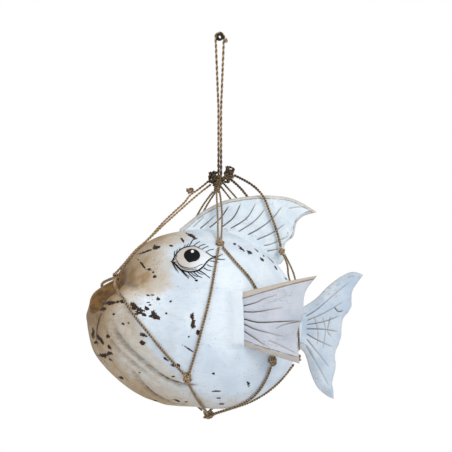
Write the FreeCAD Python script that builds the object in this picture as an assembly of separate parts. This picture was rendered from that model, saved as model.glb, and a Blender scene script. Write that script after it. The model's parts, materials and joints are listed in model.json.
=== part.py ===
"""Carved wooden fish held in a knotted cord net, hung from a small eye.

Millimetres. Origin: middle of the hanging eye. +X from head to tail, +Z up; the fish's left is -Y.
"""
import FreeCAD, Part
import math
import os

os.makedirs("parts", exist_ok=True)
V = FreeCAD.Vector

# --- driving dimensions ---------------------------------------------------------------------
MIDDLE = V(-32.0, 0.0, -354.0)      # middle of the carved body
HALF_WIDTH = 92.0                   # middle plane to the cheek
# side outline: (angle round from the tail, upward; radius)
SIDE = [(0, 138), (24, 129), (45, 123), (70, 116.5), (95, 113), (122, 114.5), (140, 112), (152, 112),
        (166, 119), (180, 122), (196, 123), (212, 120), (228, 115), (248, 109), (268, 106),
        (290, 116), (312, 126), (338, 137)]
# how far the lower lip stands out from that outline
LIP = [(140, 0), (152, 5), (160, 13), (167, 14), (175, 11), (184, 10), (194, 8), (206, 3), (222, 0)]
SQUARE, SQUARE_AT, SQUARE_WIDE = 0.45, 166.0, 20.0      # how much squarer the jaw is, and where
TAIL_PINCH = 0.36                   # how much narrower the body is at the tail root
MOUTH_AT, MOUTH_HALF = V(-165, 0, -300), (45, 68, 45)   # scoop that opens the mouth
THROAT_AT, THROAT_HALF = V(-86, 0, -362), (68, 74, 58)     # hollow behind it, which balances the fish

FIN_THICK = 10.0                    # dorsal fin board
TAIL_THICK = 10.0
SIDE_FIN_THICK = 10.0
SIDE_FIN_FLARE = 4.0                # degrees outward, going back
SIDE_FIN_ROOT = V(-7.0, -88.0, -345.0)
FIN_BEVEL = 3.0
CREST_BEVEL = 1.5                   # dorsal fin
DOWEL_D = 8.0

EYE_HOLE = 4.0                      # bore of the hanging eye
EYE_GROOVE_D = 7.2
EYE_FLANGE_D = 9.2
EYE_FLANGE = 0.8
LOOP_D = 3.0                        # cord of the hanging loop
CORD_D = 3.4                        # cord of the net
THIN_D = 2.6                        # short end strands
GAP = 0.3                           # cord surface to the wood
LOOP_NECK = 92.0                    # the loop's sides run together this far below the eye
LOOP_END = -173.5                   # where the loop meets the main knots
SWIVEL_R = 3.6

DORSAL = [(-51, -240), (-24, -219.5), (2, -206), (23, -201), (38, -199), (57, -197.5), (86, -199.5),
          (105, -205.5), (128, -218.5)]
DORSAL_REAR = [(128, -218.5), (111.5, -223), (104, -228), (100, -234), (97.5, -246), (95, -251)]
DORSAL_NOTCH = [(95, -251), (86, -257.5), (83.5, -264), (84.5, -276.5), (79.5, -284)]
DORSAL_FOOT = [(79.5, -284), (64, -286), (44, -268), (14, -253), (-18, -249.5), (-51, -254)]
TAIL_TOP = [(88, -346), (104, -343), (113, -338), (128.5, -328), (142, -315), (156, -304.5), (170, -297),
            (180, -295.5), (191, -299)]
TAIL_EDGES = [[(191, -299), (182.5, -310), (177, -318), (174.5, -328.5), (175.5, -338)],
              [(175.5, -338), (172, -344.5), (164.5, -353), (161.5, -361), (161, -377)],
              [(161, -377), (159, -383.5), (153.5, -395), (152, -404), (153.5, -417)],
              [(153.5, -417), (152, -423.5), (148.5, -436.5), (150, -447), (150.5, -458)]]
TAIL_LOW = [(150.5, -458), (141, -453), (129, -442), (120.5, -424.5), (115.5, -407.5), (111, -397),
            (102, -391), (88, -390)]
# side fin, flat: (along the fin, up), measured from its root
SIDE_TOP = [(5, 29), (26, 34), (42, 37.5), (69, 43.5), (102, 49.5)]
SIDE_REAR = [[(102, 49.5), (89, 33), (85.5, 20), (85, 4), (79, -12), (76.5, -26), (78.5, -41), (80.5, -55)]]
SIDE_LOW = [(80.5, -55), (52, -46), (32, -39.5), (17, -33.5), (5, -29.5)]


# --- the round form of the body -------------------------------------------------------------
def smooth(t):
    t = min(max(t, 0.0), 1.0)
    return t * t * (3 - 2 * t)


def through(table, a):
    """Smooth value of a table of (degrees, value) at a, going round."""
    a = a % 360.0
    t = [(x - 360, y) for x, y in table[-2:]] + table + [(x + 360, y) for x, y in table[:3]]
    i = max(k for k in range(1, len(t) - 2) if t[k][0] <= a)
    (xa, ya), (x0, y0), (x1, y1), (xb, yb) = t[i - 1:i + 3]
    w = x1 - x0
    s = (a - x0) / w
    m0, m1 = (y1 - ya) / (x1 - xa) * w, (yb - y0) / (xb - x0) * w
    return ((2 * s ** 3 - 3 * s * s + 1) * y0 + (s ** 3 - 2 * s * s + s) * m0
            + (-2 * s ** 3 + 3 * s * s) * y1 + (s ** 3 - s * s) * m1)


def reach(a, side):
    """Radius of the body round the Y axis at angle a, `side` degrees off the middle plane."""
    a = a % 360.0
    lip = through(LIP, a) if LIP[0][0] < a < LIP[-1][0] else 0.0
    square = SQUARE * math.exp(-((a - SQUARE_AT) / SQUARE_WIDE) ** 2) * smooth((75 - abs(side)) / 30)
    return (through(SIDE, a) + lip) * max(math.cos(math.radians(side)), 0.0) ** (0.85 - square)


def half_width(a, side):
    off = (a + 183.0) % 360.0 - 180.0
    return HALF_WIDTH * (1 - TAIL_PINCH * math.exp(-(off / 34.0) ** 2) * math.cos(math.radians(side)) ** 2)


def skin(a, side):
    r = reach(a, side)
    return MIDDLE + V(r * math.cos(math.radians(a)), half_width(a, side) * math.sin(math.radians(side)),
                      r * math.sin(math.radians(a)))


def within(p):
    q = p - MIDDLE
    if abs(q.y) >= HALF_WIDTH:
        return False
    a = math.degrees(math.atan2(q.z, q.x))
    lo, hi = 0.0, 90.0
    for _ in range(22):
        side = (lo + hi) / 2
        if half_width(a, side) * math.sin(math.radians(side)) < abs(q.y):
            lo = side
        else:
            hi = side
    return math.hypot(q.x, q.z) < reach(a, side)


def on_skin(p, lift):
    """The point where the ray from the body's middle through p leaves the body, lifted outward."""
    d = (p - MIDDLE).normalize()
    lo, hi = 20.0, 260.0
    for _ in range(26):
        mid = (lo + hi) / 2
        lo, hi = (mid, hi) if within(MIDDLE + d * mid) else (lo, mid)
    return MIDDLE + d * (lo + lift)


def above(p):
    """How far p is outside the body, along the ray from its middle."""
    return (p - MIDDLE).Length - (on_skin(p, 0.0) - MIDDLE).Length


def ellipsoid(at, half):
    m = FreeCAD.Matrix()
    m.scale(half[0], half[1], half[2])
    s = Part.makeSphere(1.0).transformGeometry(m)
    s.translate(at)
    return s


def body_form():
    wires = []
    for side in [-85, -76, -66, -55, -44, -33, -22, -11, 0, 11, 22, 33, 44, 55, 66, 76, 85]:
        ring = [skin(a, side) for a in range(0, 360, 10)]
        if abs(side) == 85:             # the two small end faces are flat
            ring = [V(p.x, math.copysign(HALF_WIDTH * math.sin(math.radians(85)), side), p.z) for p in ring]
        c = Part.BSplineCurve()
        c.interpolate(ring, PeriodicFlag=True)
        wires.append(Part.Wire(c.toShape()))
    form = Part.makeLoft(wires, True, False)
    return form.cut(ellipsoid(MOUTH_AT, MOUTH_HALF)).cut(ellipsoid(THROAT_AT, THROAT_HALF))


# --- boards ---------------------------------------------------------------------------------
def curve(points):
    c = Part.BSplineCurve()
    c.interpolate([V(x, 0, z) for x, z in points])
    return c.toShape()


def board(edges, thick):
    """A flat board of that outline, on the middle plane, with its long edges bevelled."""
    wire = Part.Wire([curve(e) for e in edges])
    b = Part.Face(wire).extrude(V(0, thick, 0))
    b.translate(V(0, -thick / 2, 0))
    if b.Volume < 0:
        b.reverse()
    return b


def bevelled(b, thick, keep_out, size=FIN_BEVEL):
    """Bevels the outline's edges on both faces, save where keep_out(middle of the edge) is true."""
    flat = [e for e in b.Edges if abs(abs(e.BoundBox.YMin) - thick / 2) < 1e-3
            and e.BoundBox.YLength < 1e-3 and not keep_out(e.CenterOfMass)]
    return b.makeChamfer(size, flat)


def dorsal_board():
    b = board([DORSAL, DORSAL_REAR, DORSAL_NOTCH, DORSAL_FOOT, [(-51, -254), (-51, -240)]], FIN_THICK)
    return bevelled(b, FIN_THICK, lambda c: c.z < -245, CREST_BEVEL)


def tail_board():
    b = board([TAIL_TOP] + TAIL_EDGES + [TAIL_LOW, [(88, -390), (88, -346)]], TAIL_THICK)
    return bevelled(b, TAIL_THICK, lambda c: c.x < 100)


def side_board(sign):
    """sign -1 is the fish's left."""
    b = board([SIDE_TOP] + SIDE_REAR + [SIDE_LOW, [(5, -29.5), (5, 29)]], SIDE_FIN_THICK)
    b = bevelled(b, SIDE_FIN_THICK, lambda c: c.x < 7)
    b.rotate(V(0, 0, 0), V(0, 0, 1), -SIDE_FIN_FLARE)
    b.translate(SIDE_FIN_ROOT)
    return b if sign < 0 else b.mirror(V(0, 0, 0), V(0, 1, 0))


def dowel(a, b):
    return Part.makeCylinder(DOWEL_D / 2, (b - a).Length, a, b - a)


# --- cords ----------------------------------------------------------------------------------
def eased(points):
    """Lifts control points that lie on the wood until the runs between them clear it too."""
    pts = [p for p, _, _ in points]
    for _ in range(4):
        up = [0.0] * len(pts)
        for i in range(len(pts) - 1):
            if points[i][1] and points[i + 1][1]:
                low = points[i][2] - above((pts[i] + pts[i + 1]) * 0.5)
                for k in (i, i + 1):
                    up[k] = max(up[k], low)
        for i, p in enumerate(pts):
            if points[i][1] and up[i] > 0:
                pts[i] = p + (p - MIDDLE).normalize() * up[i]
    return pts


def route(guide, d):
    """Control points: (x, y, z, 1) is drawn to the wood's surface, (x, y, z) stays where it is."""
    lift = d / 2 + GAP
    out = []
    for g in guide:
        p = V(*g[:3])
        hug = len(g) > 3
        out.append((on_skin(p, lift) if hug else p, hug, lift))
    return eased(out)


def tube(name, pts, d):
    """A cord: straight runs joined by tangent arcs."""
    edges, at, radii, length = [], pts[0], [], 0.0
    for i in range(1, len(pts) - 1):
        u, w = (pts[i] - pts[i - 1]), (pts[i + 1] - pts[i])
        back = 0.45 * min(u.Length, w.Length)
        turn = u.getAngle(w)
        u.normalize()
        w.normalize()
        p, q = pts[i] - u * back, pts[i] + w * back
        radius = back / math.tan(turn / 2)
        m = (q - p).Length / 2
        inward = ((p + q) * 0.5 - pts[i]).normalize()
        mid = (p + q) * 0.5 - inward * (radius - math.sqrt(radius * radius - m * m))
        edges += [Part.LineSegment(at, p).toShape(), Part.Arc(p, mid, q).toShape()]
        radii.append(radius)
        at = q
    edges.append(Part.LineSegment(at, pts[-1]).toShape())
    path = Part.Wire(edges)
    start = pts[1] - pts[0]
    ring = Part.Wire(Part.makeCircle(d / 2, pts[0], start))
    t = path.makePipeShell([ring], True, False, 0)
    full = math.pi * d * d / 4 * path.Length
    print("%-22s %6.1f mm, bends %s, volume %.3f, valid %s" % (
        name, path.Length, ["%.0f" % r for r in radii], t.Volume / full, t.isValid()))
    return t


def mirrored(guide):
    return [(g[0], -g[1]) + tuple(g[2:]) for g in guide]


JAW = [(-132, -6, -299.5), (-139.5, -34, -305), (-139, -57, -311, 1), (-134, -72, -320, 1),
       (-125, -78, -337, 1),
       (-109, -82, -358, 1), (-92, -83, -379, 1), (-75, -83, -399, 1), (-62, -79, -412, 1)]
DROP = [(-17, -60, -262, 1), (-22, -69, -274, 1), (-30, -84, -298, 1), (-37, -91, -325, 1),
        (-45, -93, -352, 1), (-52, -90, -381, 1), (-58.5, -82, -408, 1)]
FLANK = [(-12, -59, -262, 1), (-1, -72, -279, 1), (16, -77, -299, 1), (31, -79, -325, 1),
         (41, -77, -357, 1), (46, -72, -388, 1)]
LOWER = [(-58, -75, -421, 1), (-50, -66, -435, 1), (-38, -49, -449, 1), (-26, -26, -461, 1), (-20, -12, -467)]
BELLY = [(-13, -8.5, -470.5), (2, -25, -463, 1), (18, -37, -455, 1), (33, -50, -441, 1), (43, -62, -419, 1),
         (47, -67, -407, 1)]
CORDS = {
    "front_cord_left": (THIN_D, [(-12, -2.5, -184.5), (-23, -2, -192.5), (-38, -1.7, -205),
                                 (-55, -1.6, -219.8),
                                 (-75, -1.6, -237.5), (-91, -1.6, -252.5, 1), (-108, -1.6, -267, 1),
                                 (-122, -1.6, -283, 1), (-132, -1.6, -296, 1)]),
    "front_cord_right": (THIN_D, [(-13.5, 2.8, -180), (-26, 2.6, -190.5), (-38, 2.2, -197.5),
                                  (-44, 1.7, -206.5),
                                  (-56, 1.6, -217), (-75, 1.6, -234.5), (-91, 1.6, -251.5, 1),
                                  (-108, 1.6, -267, 1), (-122, 1.6, -283, 1), (-132, 1.6, -296, 1)]),
    "jaw_cord_left": (CORD_D, JAW),
    "jaw_cord_right": (CORD_D, mirrored(JAW)),
    "shoulder_cord_left_front": (THIN_D, [(-5, -3, -193), (-6.5, -12, -211), (-9.5, -28, -234),
                                          (-15.5, -50, -255, 1)]),
    "shoulder_cord_left_rear": (THIN_D, [(-1, -3, -193), (-0.5, -12, -211), (-4, -28, -234),
                                         (-11.5, -50, -255, 1)]),
    "shoulder_cord_right_front": (THIN_D, [(-8, 3, -193.5), (-17, 11, -206), (-26, 27, -229),
                                           (-38, 46, -250, 1)]),
    "shoulder_cord_right_rear": (THIN_D, [(-4.5, 4, -193.5), (-12, 13, -207), (-21, 31, -232),
                                          (-31.5, 46, -251, 1)]),
    "drop_cord_left": (CORD_D, DROP),
    "drop_cord_right": (CORD_D, [(-37, 55, -258, 1), (-40, 68, -274, 1), (-43, 82, -298, 1),
                                 (-46, 90, -325, 1),
                                 (-50, 92, -352, 1), (-55, 89, -381, 1), (-59.5, 82, -408, 1)]),
    "flank_cord_left": (CORD_D, FLANK),
    "flank_cord_right": (CORD_D, [(-28, 54, -256, 1), (-10, 66, -271, 1), (12, 75, -296, 1),
                                  (31, 79, -325, 1),
                                  (41, 77, -357, 1), (46, 72, -388, 1)]),
    "lower_cord_left": (CORD_D, LOWER),
    "lower_cord_right": (CORD_D, mirrored(LOWER)),
    "belly_cord_left": (CORD_D, BELLY),
    "belly_cord_right": (CORD_D, mirrored(BELLY)),
    "belly_cord_middle": (CORD_D, [(-10, -1.5, -471), (10, -3, -467, 1), (33, -5, -459, 1),
                                   (57, -8, -446, 1),
                                   (79, -10, -429, 1), (95, -11, -411, 1)]),
    "crest_cord": (CORD_D, [(18, -1, -172.5), (28, -1, -177), (37.5, -2, -182), (47, -3.5, -189),
                            (54.5, -8.8, -199),
                            (60, -8.6, -212), (66.5, -8.4, -228), (73, -8.4, -245), (77, -9.5, -263)]),
    "back_cord_front": (THIN_D, [(-1.5, 4, -182), (12, 6, -198), (33, 9, -222), (54, 10.5, -245),
                                 (74, 12, -266)]),
    "back_cord_rear": (THIN_D, [(2.5, 4, -179.5), (19, 6, -196), (39, 9, -218), (59, 10.5, -241),
                                (78, 12, -263)]),
    "back_cord_outer": (CORD_D, [(15, 3, -178), (25, 5, -185), (36, 7.5, -196.5), (53, 9, -217),
                                 (68, 10, -237), (82, 11, -259)]),
    "tail_strand_left": (THIN_D, [(79, -12, -272), (84.5, -14.5, -283), (89, -19, -298, 1),
                                  (91, -27, -316, 1), (90, -35, -339, 1), (91, -35, -365, 1),
                                  (95, -22, -391, 1)]),
    "tail_strand_right": (THIN_D, [(86, 13, -267), (93.5, 12, -281), (102, 12.5, -298), (106, 13, -318),
                                   (102, 15, -342, 1), (102, 11, -368, 1), (99, 15, -392, 1)]),
}
KNOTS = {  # place, half sizes
    "loop_knot": ((7.7, -0.8, -4.0), (2.6, 2.4, 3.2)),
    "main_knot_left": ((-8.2, -1.0, -175.6), (7.2, 6.6, 8.4)),
    "main_knot_right": ((11.0, 0.0, -172.0), (7.3, 6.2, 10.0)),
    "main_wrap": ((-3.0, 0.0, -185.2), (5.2, 5.2, 10.0)),
    "stub_knot": ((-37.4, 3.2, -192.4), (5.4, 4.2, 4.6)),
    "mouth_knot": ((-131.2, 0.0, -298.0), (5.0, 7.0, 5.4)),
    "shoulder_knot_left": ((-14.0, -54.0, -257.0), (5.4, 4.4, 6.0)),
    "shoulder_knot_right": ((-34.0, 50.0, -252.0), (5.4, 4.4, 6.0)),
    "cheek_knot_left": ((-60.0, -80.0, -415.0), (6.0, 4.6, 7.4)),
    "cheek_knot_right": ((-60.0, 80.0, -415.0), (6.0, 4.6, 7.4)),
    "rear_knot_left": ((47.5, -70.0, -399.0), (6.0, 4.8, 7.0)),
    "rear_knot_right": ((47.5, 70.0, -399.0), (6.0, 4.8, 7.0)),
    "bottom_knot": ((-15.0, -2.0, -471.0), (7.4, 8.0, 6.2)),
    "tail_knot": ((98.5, -13.0, -402.0), (4.4, 5.6, 5.6)),
    "dorsal_knot_left": ((77.8, -10.8, -268.0), (4.6, 4.4, 4.8)),
    "dorsal_knot_right": ((81.5, 12.5, -265.0), (5.2, 4.8, 5.2)),
    "tail_knot_right": ((98.0, 15.0, -397.0), (3.8, 3.8, 4.4)),
}


def turns(at, half, d):
    """A knot: a rounded core with two turns of cord standing proud of it."""
    small = min(half)
    k = ellipsoid(V(0, 0, 0), [h * 0.93 for h in half])
    for axis, r in ((V(1, 0.25, 0.9), 1.0), (V(-1, 0.3, 0.75), 0.94)):
        ring = Part.makeTorus(max(small * r - d * 0.36, d * 0.6), d * 0.42, V(0, 0, 0), axis)
        m = FreeCAD.Matrix()
        m.scale(half[0] / small, half[1] / small, half[2] / small)
        k = k.fuse(ring.transformGeometry(m))
    k.translate(V(*at))
    return k


def loop_cord():
    """Up one side, over the top of the eye in its groove, and down the other side."""
    r = EYE_GROOVE_D / 2 + GAP + LOOP_D / 2
    foot, bend = LOOP_D / 2 + 0.15, 9.0
    slope = math.atan2(r - foot, LOOP_NECK)      # the sides spread from the neck to the eye
    p = V(-r * math.cos(slope), 0, -r * math.sin(slope))
    down = V(math.sin(slope), 0, -math.cos(slope))
    k = p + down * ((p.z + LOOP_NECK) / math.cos(slope))
    a, b = k - down * bend, k - V(0, 0, bend)
    radius = bend / math.tan(slope / 2)
    side_in = ((a + b) * 0.5 - k).normalize()
    mid = (a + b) * 0.5 - side_in * (radius - math.sqrt(radius ** 2 - ((b - a).Length / 2) ** 2))
    foot_p = V(k.x, 0, LOOP_END)

    def flip(v):
        return V(-v.x, v.y, v.z)

    edges = [Part.LineSegment(foot_p, b), Part.Arc(b, mid, a), Part.LineSegment(a, p),
             Part.Arc(p, V(0, 0, r), flip(p)), Part.LineSegment(flip(p), flip(a)),
             Part.Arc(flip(a), flip(mid), flip(b)), Part.LineSegment(flip(b), flip(foot_p))]
    path = Part.Wire([e.toShape() for e in edges])
    ring = Part.Wire(Part.makeCircle(LOOP_D / 2, foot_p, V(0, 0, 1)))
    t = path.makePipeShell([ring], True, False, 0)
    print("loop_cord %.1f mm, bends %.1f and %.0f, feet at %.2f, volume %.3f, valid %s" % (
        path.Length, r, radius, k.x, t.Volume / (math.pi * LOOP_D ** 2 / 4 * path.Length), t.isValid()))
    return t


def hanging_eye():
    width = LOOP_D + 2 * GAP + 2 * EYE_FLANGE
    y = V(0, 1, 0)
    e = Part.makeCylinder(EYE_GROOVE_D / 2, width, V(0, -width / 2, 0), y)
    for at in (-width / 2, width / 2 - EYE_FLANGE):
        e = e.fuse(Part.makeCylinder(EYE_FLANGE_D / 2, EYE_FLANGE, V(0, at, 0), y))
    return e.cut(Part.makeCylinder(EYE_HOLE / 2, width + 2, V(0, -width / 2 - 1, 0), y))


def main():
    out = {}
    body = body_form()
    out["dorsal_fin"] = dorsal_board()
    out["tail_fin"] = tail_board()
    out["left_fin"] = side_board(-1)
    out["right_fin"] = side_board(1)
    for n in ("dorsal_fin", "tail_fin", "left_fin", "right_fin"):
        body = body.cut(out[n])
    pegs = {"dorsal_dowel_front": (V(-20, 0, -262), V(-20, 0, -238), "dorsal_fin"),
            "dorsal_dowel_rear": (V(38, 0, -280), V(38, 0, -256), "dorsal_fin"),
            "tail_dowel_upper": (V(74, 0, -356), V(98, 0, -356), "tail_fin"),
            "tail_dowel_lower": (V(74, 0, -380), V(98, 0, -380), "tail_fin")}
    for n, s in (("left", 1), ("right", -1)):
        pegs[n + "_dowel_upper"] = (V(1, -66 * s, -331), V(1, -88 * s, -331), n + "_fin")
        pegs[n + "_dowel_lower"] = (V(1, -66 * s, -357), V(1, -88 * s, -357), n + "_fin")
    for n, (a, b, fin) in pegs.items():
        out[n] = dowel(a, b)
        body = body.cut(out[n])
        out[fin] = out[fin].cut(out[n])
    cords = {n: tube(n, route(g, d), d) for n, (d, g) in CORDS.items()}
    cords["loop_cord"] = loop_cord()
    swivel = Part.makeCylinder(SWIVEL_R, 20, V(0, 0, LOOP_END - GAP))
    done = []
    for n, (at, half) in KNOTS.items():
        k = turns(at, half, CORD_D if min(half) > 4 else THIN_D)
        for c in cords.values():
            if c.BoundBox.intersect(k.BoundBox):
                k = k.cut(c)
        for o in done + [body] + [out[f] for f in ("dorsal_fin", "tail_fin", "left_fin", "right_fin")]:
            if o.BoundBox.intersect(k.BoundBox):
                k = k.cut(o)
        if n.startswith("main"):
            k = k.cut(swivel)
        k = max(k.Solids, key=lambda s: s.Volume)
        done.append(k)
        out[n] = k
    out.update(cords)
    out["hanging_eye"] = hanging_eye()
    out["carved_body"] = max(body.Solids, key=lambda s: s.Volume)
    mass, moment = 0.0, V(0, 0, 0)
    for n, s in sorted(out.items()):
        if not s.isValid() or len(s.Solids) != 1:
            print("LOOK AT", n, s.isValid(), len(s.Solids))
        s = s.Solids[0]
        mass += s.Volume
        moment += s.CenterOfMass * s.Volume
        s.exportStep("parts/%s.step" % n)
    print(len(out), "nodes; middle of mass", moment * (1 / mass), "body", out["carved_body"].Volume / 1e3, "ml")
    return out


nodes = main()
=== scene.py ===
"""Visual model of the carved fish in its cord net. Lengths in the tables are millimetres."""
import bpy
import bmesh
import json
import math
import numpy as np
from mathutils import Vector, Matrix
from mathutils.bvhtree import BVHTree

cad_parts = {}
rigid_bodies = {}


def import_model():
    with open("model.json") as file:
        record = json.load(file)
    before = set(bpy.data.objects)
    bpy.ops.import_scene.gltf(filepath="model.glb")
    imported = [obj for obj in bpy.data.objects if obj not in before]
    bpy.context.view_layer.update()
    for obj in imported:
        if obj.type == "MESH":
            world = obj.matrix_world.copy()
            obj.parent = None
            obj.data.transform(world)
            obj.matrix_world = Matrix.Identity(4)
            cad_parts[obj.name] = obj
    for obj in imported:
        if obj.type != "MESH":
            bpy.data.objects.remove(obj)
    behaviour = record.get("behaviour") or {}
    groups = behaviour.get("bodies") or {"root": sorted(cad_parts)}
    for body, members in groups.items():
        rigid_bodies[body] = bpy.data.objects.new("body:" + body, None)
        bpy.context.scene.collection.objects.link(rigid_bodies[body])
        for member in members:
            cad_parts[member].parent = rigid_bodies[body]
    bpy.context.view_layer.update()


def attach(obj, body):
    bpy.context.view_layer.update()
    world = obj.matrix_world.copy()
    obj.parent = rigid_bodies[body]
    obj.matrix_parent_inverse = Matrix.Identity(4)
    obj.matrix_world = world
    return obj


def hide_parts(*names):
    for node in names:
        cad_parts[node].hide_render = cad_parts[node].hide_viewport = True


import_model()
NET = "fish_and_net"

# --- camera -----------------------------------------------------------------------------------
TURN, BACK, SPAN = -15.0, 1500.0, 565.0     # degrees round, distance, width seen there
ASIDE, HEIGHT = 7.75, -236.25
ALONG = np.array([-math.sin(math.radians(TURN)), math.cos(math.radians(TURN)), 0.0])   # view direction
ACROSS = np.array([math.cos(math.radians(TURN)), math.sin(math.radians(TURN)), 0.0])   # picture's right
cam = bpy.data.objects.new("camera", bpy.data.cameras.new("camera"))
bpy.context.collection.objects.link(cam)
cam.data.sensor_width = 36.0
cam.data.lens = 36.0 * BACK / SPAN
cam.data.clip_end = 20.0
cam.location = Vector((ACROSS * ASIDE - ALONG * BACK + np.array([0, 0, HEIGHT])) / 1000.0)
cam.rotation_euler = (math.radians(90), 0, math.radians(TURN))
bpy.context.scene.camera = cam

# --- the round form, as in the part's source -------------------------------------------------------
MIDDLE = np.array([-32.0, 0.0, -354.0])
HALF_WIDTH = 92.0
SIDE = [(0, 138), (24, 129), (45, 123), (70, 116.5), (95, 113), (122, 114.5), (140, 112), (152, 112),
        (166, 119), (180, 122), (196, 123), (212, 120), (228, 115), (248, 109), (268, 106),
        (290, 116), (312, 126), (338, 137)]
LIP = [(140, 0), (152, 5), (160, 13), (167, 14), (175, 11), (184, 10), (194, 8), (206, 3), (222, 0)]
SQUARE, SQUARE_AT, SQUARE_WIDE = 0.45, 166.0, 20.0
TAIL_PINCH = 0.36
MOUTH_AT, MOUTH_HALF = np.array([-165.0, 0.0, -300.0]), np.array([45.0, 68.0, 45.0])
THROAT_AT, THROAT_HALF = np.array([-86.0, 0.0, -362.0]), np.array([68.0, 74.0, 58.0])


def smooth(t):
    t = np.clip(t, 0.0, 1.0)
    return t * t * (3 - 2 * t)


def through(table, a):
    a = np.mod(a, 360.0)
    rows = [(x - 360, y) for x, y in table[-2:]] + table + [(x + 360, y) for x, y in table[:3]]
    xs, ys = np.array(rows, float).T
    i = np.clip(np.searchsorted(xs, a, side="right") - 1, 1, len(xs) - 3)
    w = xs[i + 1] - xs[i]
    s = (a - xs[i]) / w
    m0 = (ys[i + 1] - ys[i - 1]) / (xs[i + 1] - xs[i - 1]) * w
    m1 = (ys[i + 2] - ys[i]) / (xs[i + 2] - xs[i]) * w
    return ((2 * s ** 3 - 3 * s * s + 1) * ys[i] + (s ** 3 - 2 * s * s + s) * m0
            + (-2 * s ** 3 + 3 * s * s) * ys[i + 1] + (s ** 3 - s * s) * m1)


def power(a, side):
    square = SQUARE * np.exp(-((np.mod(a, 360.0) - SQUARE_AT) / SQUARE_WIDE) ** 2)
    return 0.85 - square * smooth((75 - np.abs(side)) / 30)


def full_reach(a):
    a = np.mod(a, 360.0)
    return through(SIDE, a) + np.where((a > LIP[0][0]) & (a < LIP[-1][0]), through(LIP, a), 0.0)


def reach(a, side):
    return full_reach(a) * np.maximum(np.cos(np.radians(side)), 0.0) ** power(a, side)


def half_width(a, side):
    off = np.mod(a + 183.0, 360.0) - 180.0
    return HALF_WIDTH * (1 - TAIL_PINCH * np.exp(-(off / 34.0) ** 2) * np.cos(np.radians(side)) ** 2)


def side_at(a, y):
    """Degrees to the side at which the skin is y from the middle plane."""
    lo, hi = np.zeros(np.shape(a)), np.full(np.shape(a), 90.0)
    for _ in range(22):
        mid = (lo + hi) / 2
        low = half_width(a, mid) * np.sin(np.radians(mid)) < np.abs(y)
        lo, hi = np.where(low, mid, lo), np.where(low, hi, mid)
    return (lo + hi) / 2


def round_and_side(p):
    """Angle round the body, degrees to the side, and size (1 on the skin) of each point."""
    q = p - MIDDLE
    a = np.degrees(np.arctan2(q[..., 2], q[..., 0]))
    side = side_at(a, q[..., 1])
    r = np.hypot(q[..., 0], q[..., 2])
    total = (r / full_reach(a)) ** (2 / power(a, side)) + (q[..., 1] / half_width(a, side)) ** 2
    return a, side * np.sign(q[..., 1]), total ** 0.36


def within(p):
    q = p - MIDDLE
    if abs(q[1]) >= HALF_WIDTH:
        return False
    a = math.degrees(math.atan2(q[2], q[0]))
    return math.hypot(q[0], q[2]) < reach(a, side_at(a, q[1]))


def on_skin(p, lift):
    d = (p - MIDDLE) / np.linalg.norm(p - MIDDLE)
    lo, hi = 20.0, 260.0
    for _ in range(22):
        mid = (lo + hi) / 2
        lo, hi = (mid, hi) if within(MIDDLE + d * mid) else (lo, mid)
    return MIDDLE + d * (lo + lift)


# --- cord routes, as in the part's source ----------------------------------------------------------
CORD_D, THIN_D, LOOP_D, GAP = 3.4, 2.6, 3.0, 0.3


def route(guide, d):
    lift = d / 2 + GAP
    hug = [len(g) > 3 for g in guide]
    pts = [np.array(g[:3], float) for g in guide]
    pts = [on_skin(p, lift) if h else p for p, h in zip(pts, hug)]
    for _ in range(4):
        up = [0.0] * len(pts)
        for i in range(len(pts) - 1):
            if hug[i] and hug[i + 1]:
                m = (pts[i] + pts[i + 1]) / 2
                low = lift - (np.linalg.norm(m - MIDDLE) - np.linalg.norm(on_skin(m, 0.0) - MIDDLE))
                up[i], up[i + 1] = max(up[i], low), max(up[i + 1], low)
        pts = [p + (p - MIDDLE) / np.linalg.norm(p - MIDDLE) * u if h and u > 0 else p
               for p, u, h in zip(pts, up, hug)]
    return np.array(pts)


def mirrored(guide):
    return [(g[0], -g[1]) + tuple(g[2:]) for g in guide]


JAW = [(-132, -6, -299.5), (-139.5, -34, -305), (-139, -57, -311, 1), (-134, -72, -320, 1),
       (-125, -78, -337, 1),
       (-109, -82, -358, 1), (-92, -83, -379, 1), (-75, -83, -399, 1), (-62, -79, -412, 1)]
DROP = [(-17, -60, -262, 1), (-22, -69, -274, 1), (-30, -84, -298, 1), (-37, -91, -325, 1),
        (-45, -93, -352, 1), (-52, -90, -381, 1), (-58.5, -82, -408, 1)]
FLANK = [(-12, -59, -262, 1), (-1, -72, -279, 1), (16, -77, -299, 1), (31, -79, -325, 1),
         (41, -77, -357, 1), (46, -72, -388, 1)]
LOWER = [(-58, -75, -421, 1), (-50, -66, -435, 1), (-38, -49, -449, 1), (-26, -26, -461, 1),
         (-20, -12, -467)]
BELLY = [(-13, -8.5, -470.5), (2, -25, -463, 1), (18, -37, -455, 1), (33, -50, -441, 1), (43, -62, -419, 1),
         (47, -67, -407, 1)]
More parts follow.
